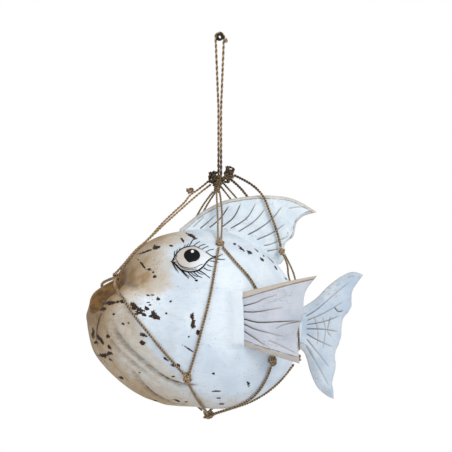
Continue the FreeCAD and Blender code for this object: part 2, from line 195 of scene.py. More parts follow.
CORDS = {
    "front_cord_left": (THIN_D, [(-12, -2.5, -184.5), (-23, -2, -192.5), (-38, -1.7, -205),
                                 (-55, -1.6, -219.8),
                                 (-75, -1.6, -237.5), (-91, -1.6, -252.5, 1), (-108, -1.6, -267, 1),
                                 (-122, -1.6, -283, 1), (-132, -1.6, -296, 1)]),
    "front_cord_right": (THIN_D, [(-13.5, 2.8, -180), (-26, 2.6, -190.5), (-38, 2.2, -197.5),
                                  (-44, 1.7, -206.5),
                                  (-56, 1.6, -217), (-75, 1.6, -234.5), (-91, 1.6, -251.5, 1),
                                  (-108, 1.6, -267, 1), (-122, 1.6, -283, 1), (-132, 1.6, -296, 1)]),
    "jaw_cord_left": (CORD_D, JAW),
    "jaw_cord_right": (CORD_D, mirrored(JAW)),
    "shoulder_cord_left_front": (THIN_D, [(-5, -3, -193), (-6.5, -12, -211), (-9.5, -28, -234),
                                          (-15.5, -50, -255, 1)]),
    "shoulder_cord_left_rear": (THIN_D, [(-1, -3, -193), (-0.5, -12, -211), (-4, -28, -234),
                                         (-11.5, -50, -255, 1)]),
    "shoulder_cord_right_front": (THIN_D, [(-8, 3, -193.5), (-17, 11, -206), (-26, 27, -229),
                                           (-38, 46, -250, 1)]),
    "shoulder_cord_right_rear": (THIN_D, [(-4.5, 4, -193.5), (-12, 13, -207), (-21, 31, -232),
                                          (-31.5, 46, -251, 1)]),
    "drop_cord_left": (CORD_D, DROP),
    "drop_cord_right": (CORD_D, [(-37, 55, -258, 1), (-40, 68, -274, 1), (-43, 82, -298, 1),
                                 (-46, 90, -325, 1),
                                 (-50, 92, -352, 1), (-55, 89, -381, 1), (-59.5, 82, -408, 1)]),
    "flank_cord_left": (CORD_D, FLANK),
    "flank_cord_right": (CORD_D, [(-28, 54, -256, 1), (-10, 66, -271, 1), (12, 75, -296, 1),
                                  (31, 79, -325, 1),
                                  (41, 77, -357, 1), (46, 72, -388, 1)]),
    "lower_cord_left": (CORD_D, LOWER),
    "lower_cord_right": (CORD_D, mirrored(LOWER)),
    "belly_cord_left": (CORD_D, BELLY),
    "belly_cord_right": (CORD_D, mirrored(BELLY)),
    "belly_cord_middle": (CORD_D, [(-10, -1.5, -471), (10, -3, -467, 1), (33, -5, -459, 1),
                                   (57, -8, -446, 1),
                                   (79, -10, -429, 1), (95, -11, -411, 1)]),
    "crest_cord": (CORD_D, [(18, -1, -172.5), (28, -1, -177), (37.5, -2, -182), (47, -3.5, -189),
                            (54.5, -8.8, -199),
                            (60, -8.6, -212), (66.5, -8.4, -228), (73, -8.4, -245), (77, -9.5, -263)]),
    "back_cord_front": (THIN_D, [(-1.5, 4, -182), (12, 6, -198), (33, 9, -222), (54, 10.5, -245),
                                 (74, 12, -266)]),
    "back_cord_rear": (THIN_D, [(2.5, 4, -179.5), (19, 6, -196), (39, 9, -218), (59, 10.5, -241),
                                (78, 12, -263)]),
    "back_cord_outer": (CORD_D, [(15, 3, -178), (25, 5, -185), (36, 7.5, -196.5), (53, 9, -217),
                                 (68, 10, -237), (82, 11, -259)]),
    "tail_strand_left": (THIN_D, [(79, -12, -272), (84.5, -14.5, -283), (89, -19, -298, 1),
                                  (91, -27, -316, 1), (90, -35, -339, 1), (91, -35, -365, 1),
                                  (95, -22, -391, 1)]),
    "tail_strand_right": (THIN_D, [(86, 13, -267), (93.5, 12, -281), (102, 12.5, -298), (106, 13, -318),
                                   (102, 15, -342, 1), (102, 11, -368, 1), (99, 15, -392, 1)]),
}
KNOTS = {  # place, half sizes
    "loop_knot": ((7.7, -0.8, -4.0), (2.6, 2.4, 3.2)),
    "main_knot_left": ((-8.2, -1.0, -175.6), (7.2, 6.6, 8.4)),
    "main_knot_right": ((11.0, 0.0, -172.0), (7.3, 6.2, 10.0)),
    "main_wrap": ((-3.0, 0.0, -185.2), (5.2, 5.2, 10.0)),
    "stub_knot": ((-37.4, 3.2, -192.4), (5.4, 4.2, 4.6)),
    "mouth_knot": ((-131.2, 0.0, -298.0), (5.0, 7.0, 5.4)),
    "shoulder_knot_left": ((-14.0, -54.0, -257.0), (5.4, 4.4, 6.0)),
    "shoulder_knot_right": ((-34.0, 50.0, -252.0), (5.4, 4.4, 6.0)),
    "cheek_knot_left": ((-60.0, -80.0, -415.0), (6.0, 4.6, 7.4)),
    "cheek_knot_right": ((-60.0, 80.0, -415.0), (6.0, 4.6, 7.4)),
    "rear_knot_left": ((47.5, -70.0, -399.0), (6.0, 4.8, 7.0)),
    "rear_knot_right": ((47.5, 70.0, -399.0), (6.0, 4.8, 7.0)),
    "bottom_knot": ((-15.0, -2.0, -471.0), (7.4, 8.0, 6.2)),
    "tail_knot": ((98.5, -13.0, -402.0), (4.4, 5.6, 5.6)),
    "dorsal_knot_left": ((77.8, -10.8, -268.0), (4.6, 4.4, 4.8)),
    "dorsal_knot_right": ((81.5, 12.5, -265.0), (5.2, 4.8, 5.2)),
    "tail_knot_right": ((98.0, 15.0, -397.0), (3.8, 3.8, 4.4)),
}

# --- helpers ------------------------------------------------------------------------------------
def add(name, verts, faces, mat, body=NET, replaces=(), shade=True):
    me = bpy.data.meshes.new(name)
    me.from_pydata([tuple(v) for v in np.asarray(verts, float) / 1000.0], [],
                   [tuple(int(i) for i in f) for f in faces])
    me.validate()
    ob = bpy.data.objects.new(name, me)
    bpy.context.collection.objects.link(ob)
    me.materials.append(mat)
    if shade:
        me.polygons.foreach_set("use_smooth", [True] * len(me.polygons))
    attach(ob, body)
    if replaces:
        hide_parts(*replaces)
    return ob


def coords(me):
    v = np.empty(len(me.vertices) * 3)
    me.vertices.foreach_get("co", v)
    return v.reshape(-1, 3) * 1000.0


def put(me, v):
    me.vertices.foreach_set("co", (v / 1000.0).ravel())
    me.update()


def normals(me):
    n = np.empty(len(me.vertices) * 3)
    me.vertices.foreach_get("normal", n)
    return n.reshape(-1, 3)


def keep(me, name, values):
    at = me.attributes.new(name, "FLOAT", "POINT")
    at.data.foreach_set("value", np.asarray(values, dtype=np.float32))


def edges_of(me):
    e = np.empty(len(me.edges) * 2, dtype=np.int64)
    me.edges.foreach_get("vertices", e)
    return e.reshape(-1, 2)


def relax(v, e, weight, times):
    """Moves each point towards the middle of its neighbours, by its weight."""
    n = len(v)
    count = np.bincount(e.ravel(), minlength=n).astype(float)[:, None]
    for _ in range(times):
        s = np.stack([np.bincount(e[:, 0], v[e[:, 1], k], n) + np.bincount(e[:, 1], v[e[:, 0], k], n)
                      for k in range(v.shape[1])], -1)
        v = v + (s / count - v) * weight[:, None]
    return v


def remeshed(ob, voxel):
    bpy.context.view_layer.objects.active = ob
    for o in bpy.context.selected_objects:
        o.select_set(False)
    ob.select_set(True)
    m = ob.modifiers.new("r", "REMESH")
    m.mode = "VOXEL"
    m.voxel_size = voxel / 1000.0
    dep = bpy.context.evaluated_depsgraph_get()
    me = bpy.data.meshes.new_from_object(ob.evaluated_get(dep))
    ob.modifiers.clear()
    return me


def value_noise(p, scale, seed=0):
    """Smooth noise in -1..1 at points p (mm), with features of that size."""
    q = p / scale + seed * 17.31
    i = np.floor(q).astype(np.int64)
    f = q - i
    f = f * f * (3 - 2 * f)
    out = np.zeros(len(p))
    for dx in (0, 1):
        for dy in (0, 1):
            for dz in (0, 1):
                h = ((i[:, 0] + dx) * 73856093) ^ ((i[:, 1] + dy) * 19349663) ^ ((i[:, 2] + dz) * 83492791)
                h = (h ^ (h >> 13)) * 1274126177
                h = ((h ^ (h >> 16)) & 0xFFFF) / 32767.5 - 1
                out += h * (f[:, 0] if dx else 1 - f[:, 0]) * (f[:, 1] if dy else 1 - f[:, 1]) \
                    * (f[:, 2] if dz else 1 - f[:, 2])
    return out


def near_line(x, z, pts):
    """Distance to a polyline, and how far along it (0..1) the nearest point is."""
    pts = np.asarray(pts, float)
    best = np.full(x.shape, 1e9)
    along = np.zeros(x.shape)
    lens = np.hypot(*(pts[1:] - pts[:-1]).T)
    total = lens.sum()
    done = 0.0
    for (ax, az), (bx, bz), ln in zip(pts[:-1], pts[1:], lens):
        if ln < 1e-9:
            continue
        t = np.clip(((x - ax) * (bx - ax) + (z - az) * (bz - az)) / ln ** 2, 0, 1)
        d = np.hypot(x - ax - t * (bx - ax), z - az - t * (bz - az))
        m = d < best
        best[m] = d[m]
        along[m] = (done + t[m] * ln) / total
        done += ln
    return best, along


def rounded(points, step=0.9):
    """A smooth line through points, sampled about every `step` mm."""
    p = np.asarray(points, float)
    if len(p) == 2:
        n = max(2, int(np.linalg.norm(p[1] - p[0]) / step))
        return p[0] + (p[1] - p[0]) * np.linspace(0, 1, n + 1)[:, None]
    q = np.vstack([2 * p[0] - p[1], p, 2 * p[-1] - p[-2]])
    out = []
    for i in range(1, len(q) - 2):
        n = max(2, int(np.linalg.norm(q[i + 1] - q[i]) / step))
        t = np.linspace(0, 1, n, endpoint=False)[:, None]
        a, b, c, d = q[i - 1:i + 3]
        out.append(0.5 * (2 * b + (c - a) * t + (2 * a - 5 * b + 4 * c - d) * t ** 2
                          + (3 * b - a - 3 * c + d) * t ** 3))
    return np.vstack(out + [p[-1:]])


# --- shader maths -------------------------------------------------------------------------------
def lin(c):
    """Linear colour of a #rrggbb."""
    v = [int(c[i:i + 2], 16) / 255 for i in (1, 3, 5)]
    return tuple([x / 12.92 if x <= 0.04045 else ((x + 0.055) / 1.055) ** 2.4 for x in v] + [1.0])


class Val:
    """A number socket with arithmetic."""

    def __init__(self, tree, sock):
        self.tree, self.sock = tree, sock

    def op(self, what, *others):
        n = self.tree.nodes.new("ShaderNodeMath")
        n.operation = what
        for i, o in enumerate((self,) + others):
            if isinstance(o, Val):
                self.tree.links.new(o.sock, n.inputs[i])
            else:
                n.inputs[i].default_value = o
        return Val(self.tree, n.outputs[0])

    def __add__(self, o): return self.op("ADD", o)
    def __sub__(self, o): return self.op("SUBTRACT", o)
    def __mul__(self, o): return self.op("MULTIPLY", o)
    def __truediv__(self, o): return self.op("DIVIDE", o)
    __radd__, __rmul__ = __add__, __mul__
    def __rsub__(self, o): return (self * -1.0) + o
    def high(self, o): return self.op("MAXIMUM", o)
    def abs(self): return self.op("ABSOLUTE")

    def step(self, a, b):
        """0 at a, 1 at b, smooth between; a may be the larger."""
        n = self.tree.nodes.new("ShaderNodeMapRange")
        n.interpolation_type = "SMOOTHSTEP"
        self.tree.links.new(self.sock, n.inputs["Value"])
        lo, hi, flip = (a, b, False) if a < b else (b, a, True)
        n.inputs["From Min"].default_value, n.inputs["From Max"].default_value = lo, hi
        ends = (1.0, 0.0) if flip else (0.0, 1.0)
        n.inputs["To Min"].default_value, n.inputs["To Max"].default_value = ends
        return Val(self.tree, n.outputs["Result"])


class Look:
    """One material, built from object coordinates in millimetres."""

    def __init__(self, name, rough=0.6, **fixed):
        self.mat = bpy.data.materials.new(name)
        self.mat.use_nodes = True
        self.tree = self.mat.node_tree
        self.bsdf = self.tree.nodes["Principled BSDF"]
        self.bsdf.inputs["Roughness"].default_value = rough
        for k, v in fixed.items():
            self.bsdf.inputs[k.replace("_", " ")].default_value = v
        tc = self.tree.nodes.new("ShaderNodeTexCoord")
        self.p = self.vec("SCALE", tc.outputs["Object"], scale=1000.0)

    def vec(self, what, a, b=None, scale=None):
        n = self.tree.nodes.new("ShaderNodeVectorMath")
        n.operation = what
        self.tree.links.new(a, n.inputs[0])
        if b is not None:
            if isinstance(b, (tuple, list)):
                n.inputs[1].default_value = b
            else:
                self.tree.links.new(b, n.inputs[1])
        if scale is not None:
            n.inputs["Scale"].default_value = scale
        return n.outputs["Vector"]

    def xyz(self, where=None):
        n = self.tree.nodes.new("ShaderNodeSeparateXYZ")
        self.tree.links.new(where or self.p, n.inputs[0])
        return [Val(self.tree, o) for o in n.outputs]

    def attr(self, name):
        n = self.tree.nodes.new("ShaderNodeAttribute")
        n.attribute_name = name
        return Val(self.tree, n.outputs["Fac"])

    def noise(self, size, detail=2.0, rough=0.5, squeeze=None, seed=0.0, where=None, warp=0.0):
        """Noise in 0..1 with features of about `size` mm; squeeze stretches it per axis."""
        s = squeeze or (1, 1, 1)
        v = self.vec("MULTIPLY", where or self.p, tuple(k / size for k in s))
        v = self.vec("ADD", v, (seed * 3.7, seed * 1.9, seed * 7.3))
        n = self.tree.nodes.new("ShaderNodeTexNoise")
        self.tree.links.new(v, n.inputs["Vector"])
        n.inputs["Scale"].default_value = 1.0
        n.inputs["Detail"].default_value = detail
        n.inputs["Roughness"].default_value = rough
        n.inputs["Distortion"].default_value = warp
        return Val(self.tree, n.outputs["Fac"])

    def cells(self, size, seed=0.0, squeeze=None, where=None):
        s = squeeze or (1, 1, 1)
        v = self.vec("MULTIPLY", where or self.p, tuple(k / size for k in s))
        v = self.vec("ADD", v, (seed * 3.1, seed * 5.9, seed * 2.3))
        n = self.tree.nodes.new("ShaderNodeTexVoronoi")
        n.inputs["Scale"].default_value = 1.0
        self.tree.links.new(v, n.inputs["Vector"])
        return Val(self.tree, n.outputs["Distance"])

    def mix(self, f, a, b):
        """Colours a to b; each is a #rrggbb or a socket."""
        n = self.tree.nodes.new("ShaderNodeMix")
        n.data_type = "RGBA"
        n.clamp_factor = True
        if isinstance(f, Val):
            self.tree.links.new(f.sock, n.inputs[0])
        else:
            n.inputs[0].default_value = f
        for sock, c in ((n.inputs[6], a), (n.inputs[7], b)):
            if isinstance(c, str):
                sock.default_value = lin(c)
            else:
                self.tree.links.new(c, sock)
        return n.outputs[2]

    def done(self, colour, rough=None, height=None, strength=0.6, distance=0.3):
        self.tree.links.new(colour, self.bsdf.inputs["Base Color"])
        if rough is not None:
            self.tree.links.new(rough.sock, self.bsdf.inputs["Roughness"])
        if height is not None:
            b = self.tree.nodes.new("ShaderNodeBump")
            b.inputs["Strength"].default_value = strength
            b.inputs["Distance"].default_value = distance / 1000.0
            self.tree.links.new(height.sock, b.inputs["Height"])
            self.tree.links.new(b.outputs["Normal"], self.bsdf.inputs["Normal"])
        return self.mat


# --- materials ----------------------------------------------------------------------------------
# paint worn through to dark wood: (x, z, half length, half height, degrees)
CHIPS = [(-147, -326, 6, 1.7, -14), (-136, -324, 3.4, 1.6, 35), (-156, -334, 2, 2.6, 70),
         (-145, -339, 1.3, 1, 0),
         (-135, -350, 1.6, 1, 40), (-129, -349, 1, 1, 0), (-162, -364, 1, 6, 0), (-156, -371, 5, 1.4, 58),
         (-149, -366, 2, 1.8, 40), (-147, -379, 3, 1.2, 55), (-146, -387, 2.4, 1.6, 40),
         (-159, -376, 1.4, 1.8, 0),
         (-151, -391, 3.4, 2.5, 0), (-144, -395, 2, .8, 45), (-112, -363, 3.4, 1.7, 28),
         (-113, -372, 2.6, 2, 20),
         (-87, -391, 3.6, 1.2, 38), (-74, -399, 4.2, 1.8, 8), (-76, -413, 1.4, .8, 0),
         (-113, -409, 1, .9, 0),
         (-129, -419, 2.4, 1, 45), (-87, -449, 2.6, 1.1, 10), (-64, -446, 3.8, 1, 22),
         (-53, -448, 1.4, 1, 0),
         (-123, -330, 5, 3, 38), (-118, -333, 4.6, 2.6, 30), (-119, -337, 2.6, 2, 0),
         (-113, -339, 3.2, 1.4, 28),
         (-109, -332, 2.4, 1.6, 25), (-101, -338, 3.4, 2.4, 25), (-99, -342, 3.8, 2.4, 25),
         (-105, -341, 2, 1, 0),
         (-106, -317, 1.6, .9, 0), (-101, -317, 2, .9, 0), (-95, -321, 1.7, 1.3, 0),
         (-81, -324, 1.2, .9, 0),
         (-107, -325, 1.5, .6, 0), (-105, -328, 1.5, .8, 0), (-87, -338, 1.2, .9, 0),
         (-57, -342, 2, 3.4, 0),
         (-56, -350, 2.2, 5, 8), (-50, -360, 2.8, 2.2, 30), (-61, -365, 1, .9, 0), (-60, -380, 6.5, .8, 34),
         (-88, -262, 3, 2, -20), (-99, -267, 7, .7, -26), (-106, -283, 5.6, .8, 66),
         (-100, -288, 2.4, 1.3, 15),
         (-97, -291, 1.2, 1, 0), (-96, -296, 1.3, 1.3, 0), (-57, -253, 1.1, 2.4, -12),
         (-44, -248, 4.2, 1.9, 34),
         (-72, -260, 1.6, 1, 0), (7, -258, 1.6, 1, 0), (14, -264, 3.4, 1.4, 40), (24, -268, 3, 1.8, 20),
         (37, -266, 2.2, .8, 48), (41, -277, 2.4, 1.4, 30), (46, -273, 1.3, .9, 0), (57, -278, 4, .8, 48),
         (62, -288, 2.2, 1.7, 45), (78, -302, 2.2, .9, 45), (-21, -433, 4.4, .8, 0),
         (-16, -443, 2.2, .8, 0),
         (-10, -452, 3.2, .9, 0), (18, -426, 1.4, 3.2, -28), (-29, -410, 1.3, 1.1, 0)]
# folds under the jaw: ((degrees round, degrees to the side), ...), depth, where its crack begins
FOLDS = [([(174, 38), (182, 41), (192, 45), (210, 48), (229, 48.5), (250, 49.5), (263, 51)], 1.0, .55),
         ([(178, 30), (188, 34), (198, 38), (208, 41), (222, 43)], .8, 2.0),
         ([(204, 36), (216, 33), (226, 29), (236, 25), (248, 20.5), (262, 17)], .9, .3),
         ([(182, 16), (200, 21), (222, 20), (246, 12)], .55, 2.0),
         ([(170, 34), (174, 27), (180, 20), (190, 14), (204, 11), (220, 9)], .5, .1)]


def worn(look, base, chip, dark="#301a0a", rim="#8a6a48"):
    """Paint chipped to dark wood, with a thin stained rim round each chip."""
    c = look.mix(chip.step(0.02, 0.3) * 0.5, base, rim)
    return look.mix(chip.step(0.35, 0.7), c, dark)


def body_paint():
    look = Look("whitewashed body", 0.58)
    age_and_shade, groove_shade, line, hollow = (look.attr(n) for n in ("age_and_shade", "groove_shade", "line", "hollow"))
    big, mid = look.noise(46, 3, 0.55), look.noise(11, 4, 0.6, seed=1)
    fine = look.noise(2.6, 4, 0.65, squeeze=(0.3, 1, 1), seed=2)
    c = look.mix(big.step(0.35, 0.68), "#e4edf4", "#cfdbe6")
    c = look.mix(fine.step(0.48, 0.74) * 0.35, c, "#bcc7d0")
    # warmer, browner wash towards the head, jaw and mouth rim; along the bottom's middle line this browning
    # is painted shade, and it also grows towards the bottom
    c = look.mix((age_and_shade + (mid - 0.5) * 0.55 + (fine - 0.5) * 0.25).step(0.1, 0.5), c, "#d0c8bb")
    c = look.mix((age_and_shade + (mid - 0.5) * 0.6 + (fine - 0.5) * 0.4).step(0.42, 0.9), c, "#b59b79")
    c = look.mix((age_and_shade + (mid - 0.5) * 0.5 + (big - 0.5) * 0.5).step(0.8, 1.2), c, "#8a6a44")
    # painted shade: greyer brown in the folds under the jaw and along the snout's lower edge
    c = look.mix((groove_shade + (fine - 0.5) * 0.6 + (mid - 0.5) * 0.4).step(0.3, 1.0) * 0.8, c, "#77695a")
    # fine dark flecks, thicker towards the head
    flecks = look.cells(4.6, seed=1).step(0.13, 0.05) * look.noise(24, 2, seed=5).step(0.47, 0.6)
    where = (look.noise(17, 2, seed=9) + age_and_shade * 0.16).step(0.56, 0.7)
    flecks2 = look.cells(2.4, seed=4, squeeze=(0.6, 1, 1)).step(0.16, 0.07) * where
    # chips: the field is 1 on a chip's edge, less inside it
    ragged = (look.noise(4.2, 4, 0.65, seed=7) - 0.5) * 3.0 + (look.noise(1.5, 2, 0.6, seed=12) - 0.5) * 1.5
    chip = (look.attr("chips") + ragged).step(1.25, 0.95)
    outer = hollow.step(0.5, 0.1)
    cracks = line * (mid + fine * 0.6).step(0.62, 0.86) * outer
    chip = (chip.high(flecks * 0.9).high(flecks2 * 0.85) * outer).high(cracks)
    c = look.mix(look.attr("root").step(0.1, 0.8) * 0.4, c, "#e2e6ea")
    c = worn(look, c, chip)
    # inside the mouth
    inner = look.mix(look.noise(8, 4, 0.6, squeeze=(1, 0.4, 1), seed=6).step(0.35, 0.7), "#a1743a",
                     "#664517")
    # painted shade, darker deeper into the mouth
    inner = look.mix(look.attr("deep").step(0.2, 1.0) * 0.9, inner, "#3c2808")
    c = look.mix((hollow + (mid - 0.5) * 0.3).step(0.35, 0.65), c, inner)
    h = fine * 0.5 + mid * 0.4 - chip * 1.4 + look.noise(0.7, 2, seed=8) * 0.2
    return look.done(c, chip * 0.2 + fine * 0.16 + 0.5, h, 0.55, 0.5)


def fin_paint(name, tone, shade, seed, grain):
    """Board paint; grain is the direction factor that stretches the brush marks."""
    look = Look(name, 0.55)
    edge, line, groove_shade, arris, band = (look.attr(n) for n in ("edge", "line", "groove_shade", "arris", "band"))
    big, mid = look.noise(30, 3, 0.55, seed=seed), look.noise(8, 4, 0.6, seed=seed + 1)
    fine = look.noise(2.2, 4, 0.65, squeeze=grain, seed=seed + 2)
    c = look.mix(big.step(0.3, 0.7), tone, shade)
    c = look.mix(fine.step(0.46, 0.76) * 0.4, c, "#b4bdc6")
    c = look.mix((band + (mid - 0.5) * 0.5).step(0.3, 1.0) * 0.85, c, "#bfb2a1")
    c = look.mix((edge * 0.8 + (mid - 0.5) * 0.7).step(0.25, 0.8) * 0.5, c, "#c5ad8c")
    # painted shade in the carved rib grooves
    c = look.mix((groove_shade + (mid - 0.5) * 0.5).step(0.3, 1.0) * 0.55, c, "#9d9280")
    specks = look.cells(3.1, seed=seed).step(0.12, 0.05) * look.noise(16, 2, seed=seed + 3).step(0.5, 0.62)
    hair = look.noise(7, 5, 0.62, squeeze=grain, seed=seed + 4, warp=0.6) - 0.5
    hair = hair.abs().step(0.006, 0.001) * look.noise(26, 1, seed=seed + 6).step(0.52, 0.66)
    chip = (line * (fine * 0.4 + 0.85)).high(specks * 0.8).high(hair * 0.6)
    c = look.mix((arris + (mid - 0.5) * 0.8 + (fine - 0.5) * 0.6).step(0.32, 0.8) * 0.85, c, "#7d5e3c")
    chip = chip.high((edge + (mid - 0.5) * 1.2 + (fine - 0.5) * 0.9).step(1.0, 1.22) * 0.8)
    c = worn(look, c, chip, dark="#2c2320", rim="#8d8170")
    h = fine * 0.5 + mid * 0.3 - chip * 0.9
    return look.done(c, fine * 0.14 + 0.5, h, 0.5, 0.4)


def rope_look(name, light, dark, seed, deep="#2a1e11"):
    look = Look(name, 0.85, Specular_IOR_Level=0.25)
    z = look.xyz()[2]
    strand_shade = look.attr("strand_shade")
    long_way = look.tree.nodes.new("ShaderNodeUVMap").outputs[0]
    fibre = look.noise(1.0, 3, 0.7, squeeze=(0.35, 5.0, 1), where=long_way, seed=seed)
    patch = look.noise(14, 3, 0.6, seed=seed + 1)
    c = look.mix(fibre.step(0.3, 0.72), dark, light)
    c = look.mix(patch.step(0.45, 0.72) * 0.5, c, "#c0a784")
    c = look.mix(patch.step(0.5, 0.28) * 0.4, c, "#604a31")
    # painted shade: the cords and knots darken in a band round the main knots at the top
    c = look.mix(z.step(-128, -158) * z.step(-196, -186) * (fibre * 0.5 + 0.4), c, "#33261a")
    # painted shade where the strands twist into one another
    c = look.mix(strand_shade.step(0.34, 0.85) * 0.95, c, deep)
    return look.done(c, None, fibre - strand_shade * 0.9, 0.9, 0.3)


def plain(name, a, b, rough, size, squeeze=None, **fixed):
    look = Look(name, rough, **fixed)
    n = look.noise(size, 4, 0.6, squeeze=squeeze)
    return look.done(look.mix(n.step(0.3, 0.7), a, b), n * 0.2 + (rough - 0.1), n, 0.4, 0.15)


BODY_PAINT = body_paint()
DORSAL_PAINT = fin_paint("whitewashed dorsal", "#e4edf2", "#cedbe5", 11, (0.5, 1, 0.5))
TAIL_PAINT = fin_paint("whitewashed tail", "#d5dfe8", "#b9c8d8", 21, (0.35, 1, 1))
# the side fins' greyer whitewash is painted shade, for boards that face the light less than the dorsal fin
SHADED_SIDE_PAINT = fin_paint("whitewashed side fin", "#cbced6", "#b8bdc8", 31, (0.3, 1, 1))
JUTE = rope_look("jute", "#ccb08e", "#947a5e", 1)
JUTE_PALE = rope_look("jute pale", "#d4ba97", "#a1866a", 5)
# a darker copy of the jute: painted shade for knots that hang in shade
JUTE_SHADED = rope_look("jute shaded", "#85704f", "#40311e", 9, "#1a120a")
JUTE_SMOOTH = rope_look("jute smooth", "#d0b28b", "#b2946c", 13, "#85694a")
METAL = plain("blackened metal", "#2b2a24", "#17160f", 0.45, 1.5, Metallic=0.8)
BARE = plain("bare wood", "#8d6640", "#6d4a2b", 0.7, 3.0, (0.25, 1, 1))

# --- body ---------------------------------------------------------------------------------------
def ball(levels):
    bm = bmesh.new()
    bmesh.ops.create_icosphere(bm, subdivisions=levels, radius=1.0)
    d = np.array([v.co for v in bm.verts])
    f = [[v.index for v in fc.verts] for fc in bm.faces]
    bm.free()
    return d / np.linalg.norm(d, axis=1)[:, None], f


def raw(name, verts, faces):
    me = bpy.data.meshes.new(name)
    me.from_pydata([tuple(v) for v in verts / 1000.0], [], faces)
    ob = bpy.data.objects.new(name, me)
    bpy.context.collection.objects.link(ob)
    return ob


FAR_LIP = 0.91      # the far lip stands a little further in
SWELL = 5.0         # how far the skin rises to meet a side fin


def in_mouth(v):
    """1 on the mouth's wall, less inside it."""
    d = (v - MOUTH_AT) / MOUTH_HALF
    d[:, 1] /= np.where(d[:, 1] > 0, FAR_LIP, 1.0)
    return np.linalg.norm(d, axis=1)


def hollowed(solid, at, half, far=1.0):
    d, f = ball(5)
    d[:, 1] *= np.where(d[:, 1] > 0, far, 1.0)
    tool = raw("hollow_tool", d * half + at, f)
    cut = solid.modifiers.new("hollow", "BOOLEAN")
    cut.operation, cut.object, cut.solver = "DIFFERENCE", tool, "EXACT"
    solid.data = bpy.data.meshes.new_from_object(solid.evaluated_get(bpy.context.evaluated_depsgraph_get()))
    solid.modifiers.clear()
    bpy.data.objects.remove(tool)


def chip_field(v):
    """How far each point lies from the nearest chip, in that chip's own size."""
    x, z = v[:, 0] - 11.0 * (v[:, 1] > 0), v[:, 2] + 7.0 * (v[:, 1] > 0)
    best = np.full(len(v), 4.0)
    for cx, cz, rx, rz, turn in CHIPS:
        c, s = math.cos(math.radians(turn)), math.sin(math.radians(turn))
        across, up = (x - cx) * c - (z - cz) * s, (x - cx) * s + (z - cz) * c
        best = np.minimum(best, np.hypot(across / (rx * 1.1), up / (rz * 1.1)))
    return best


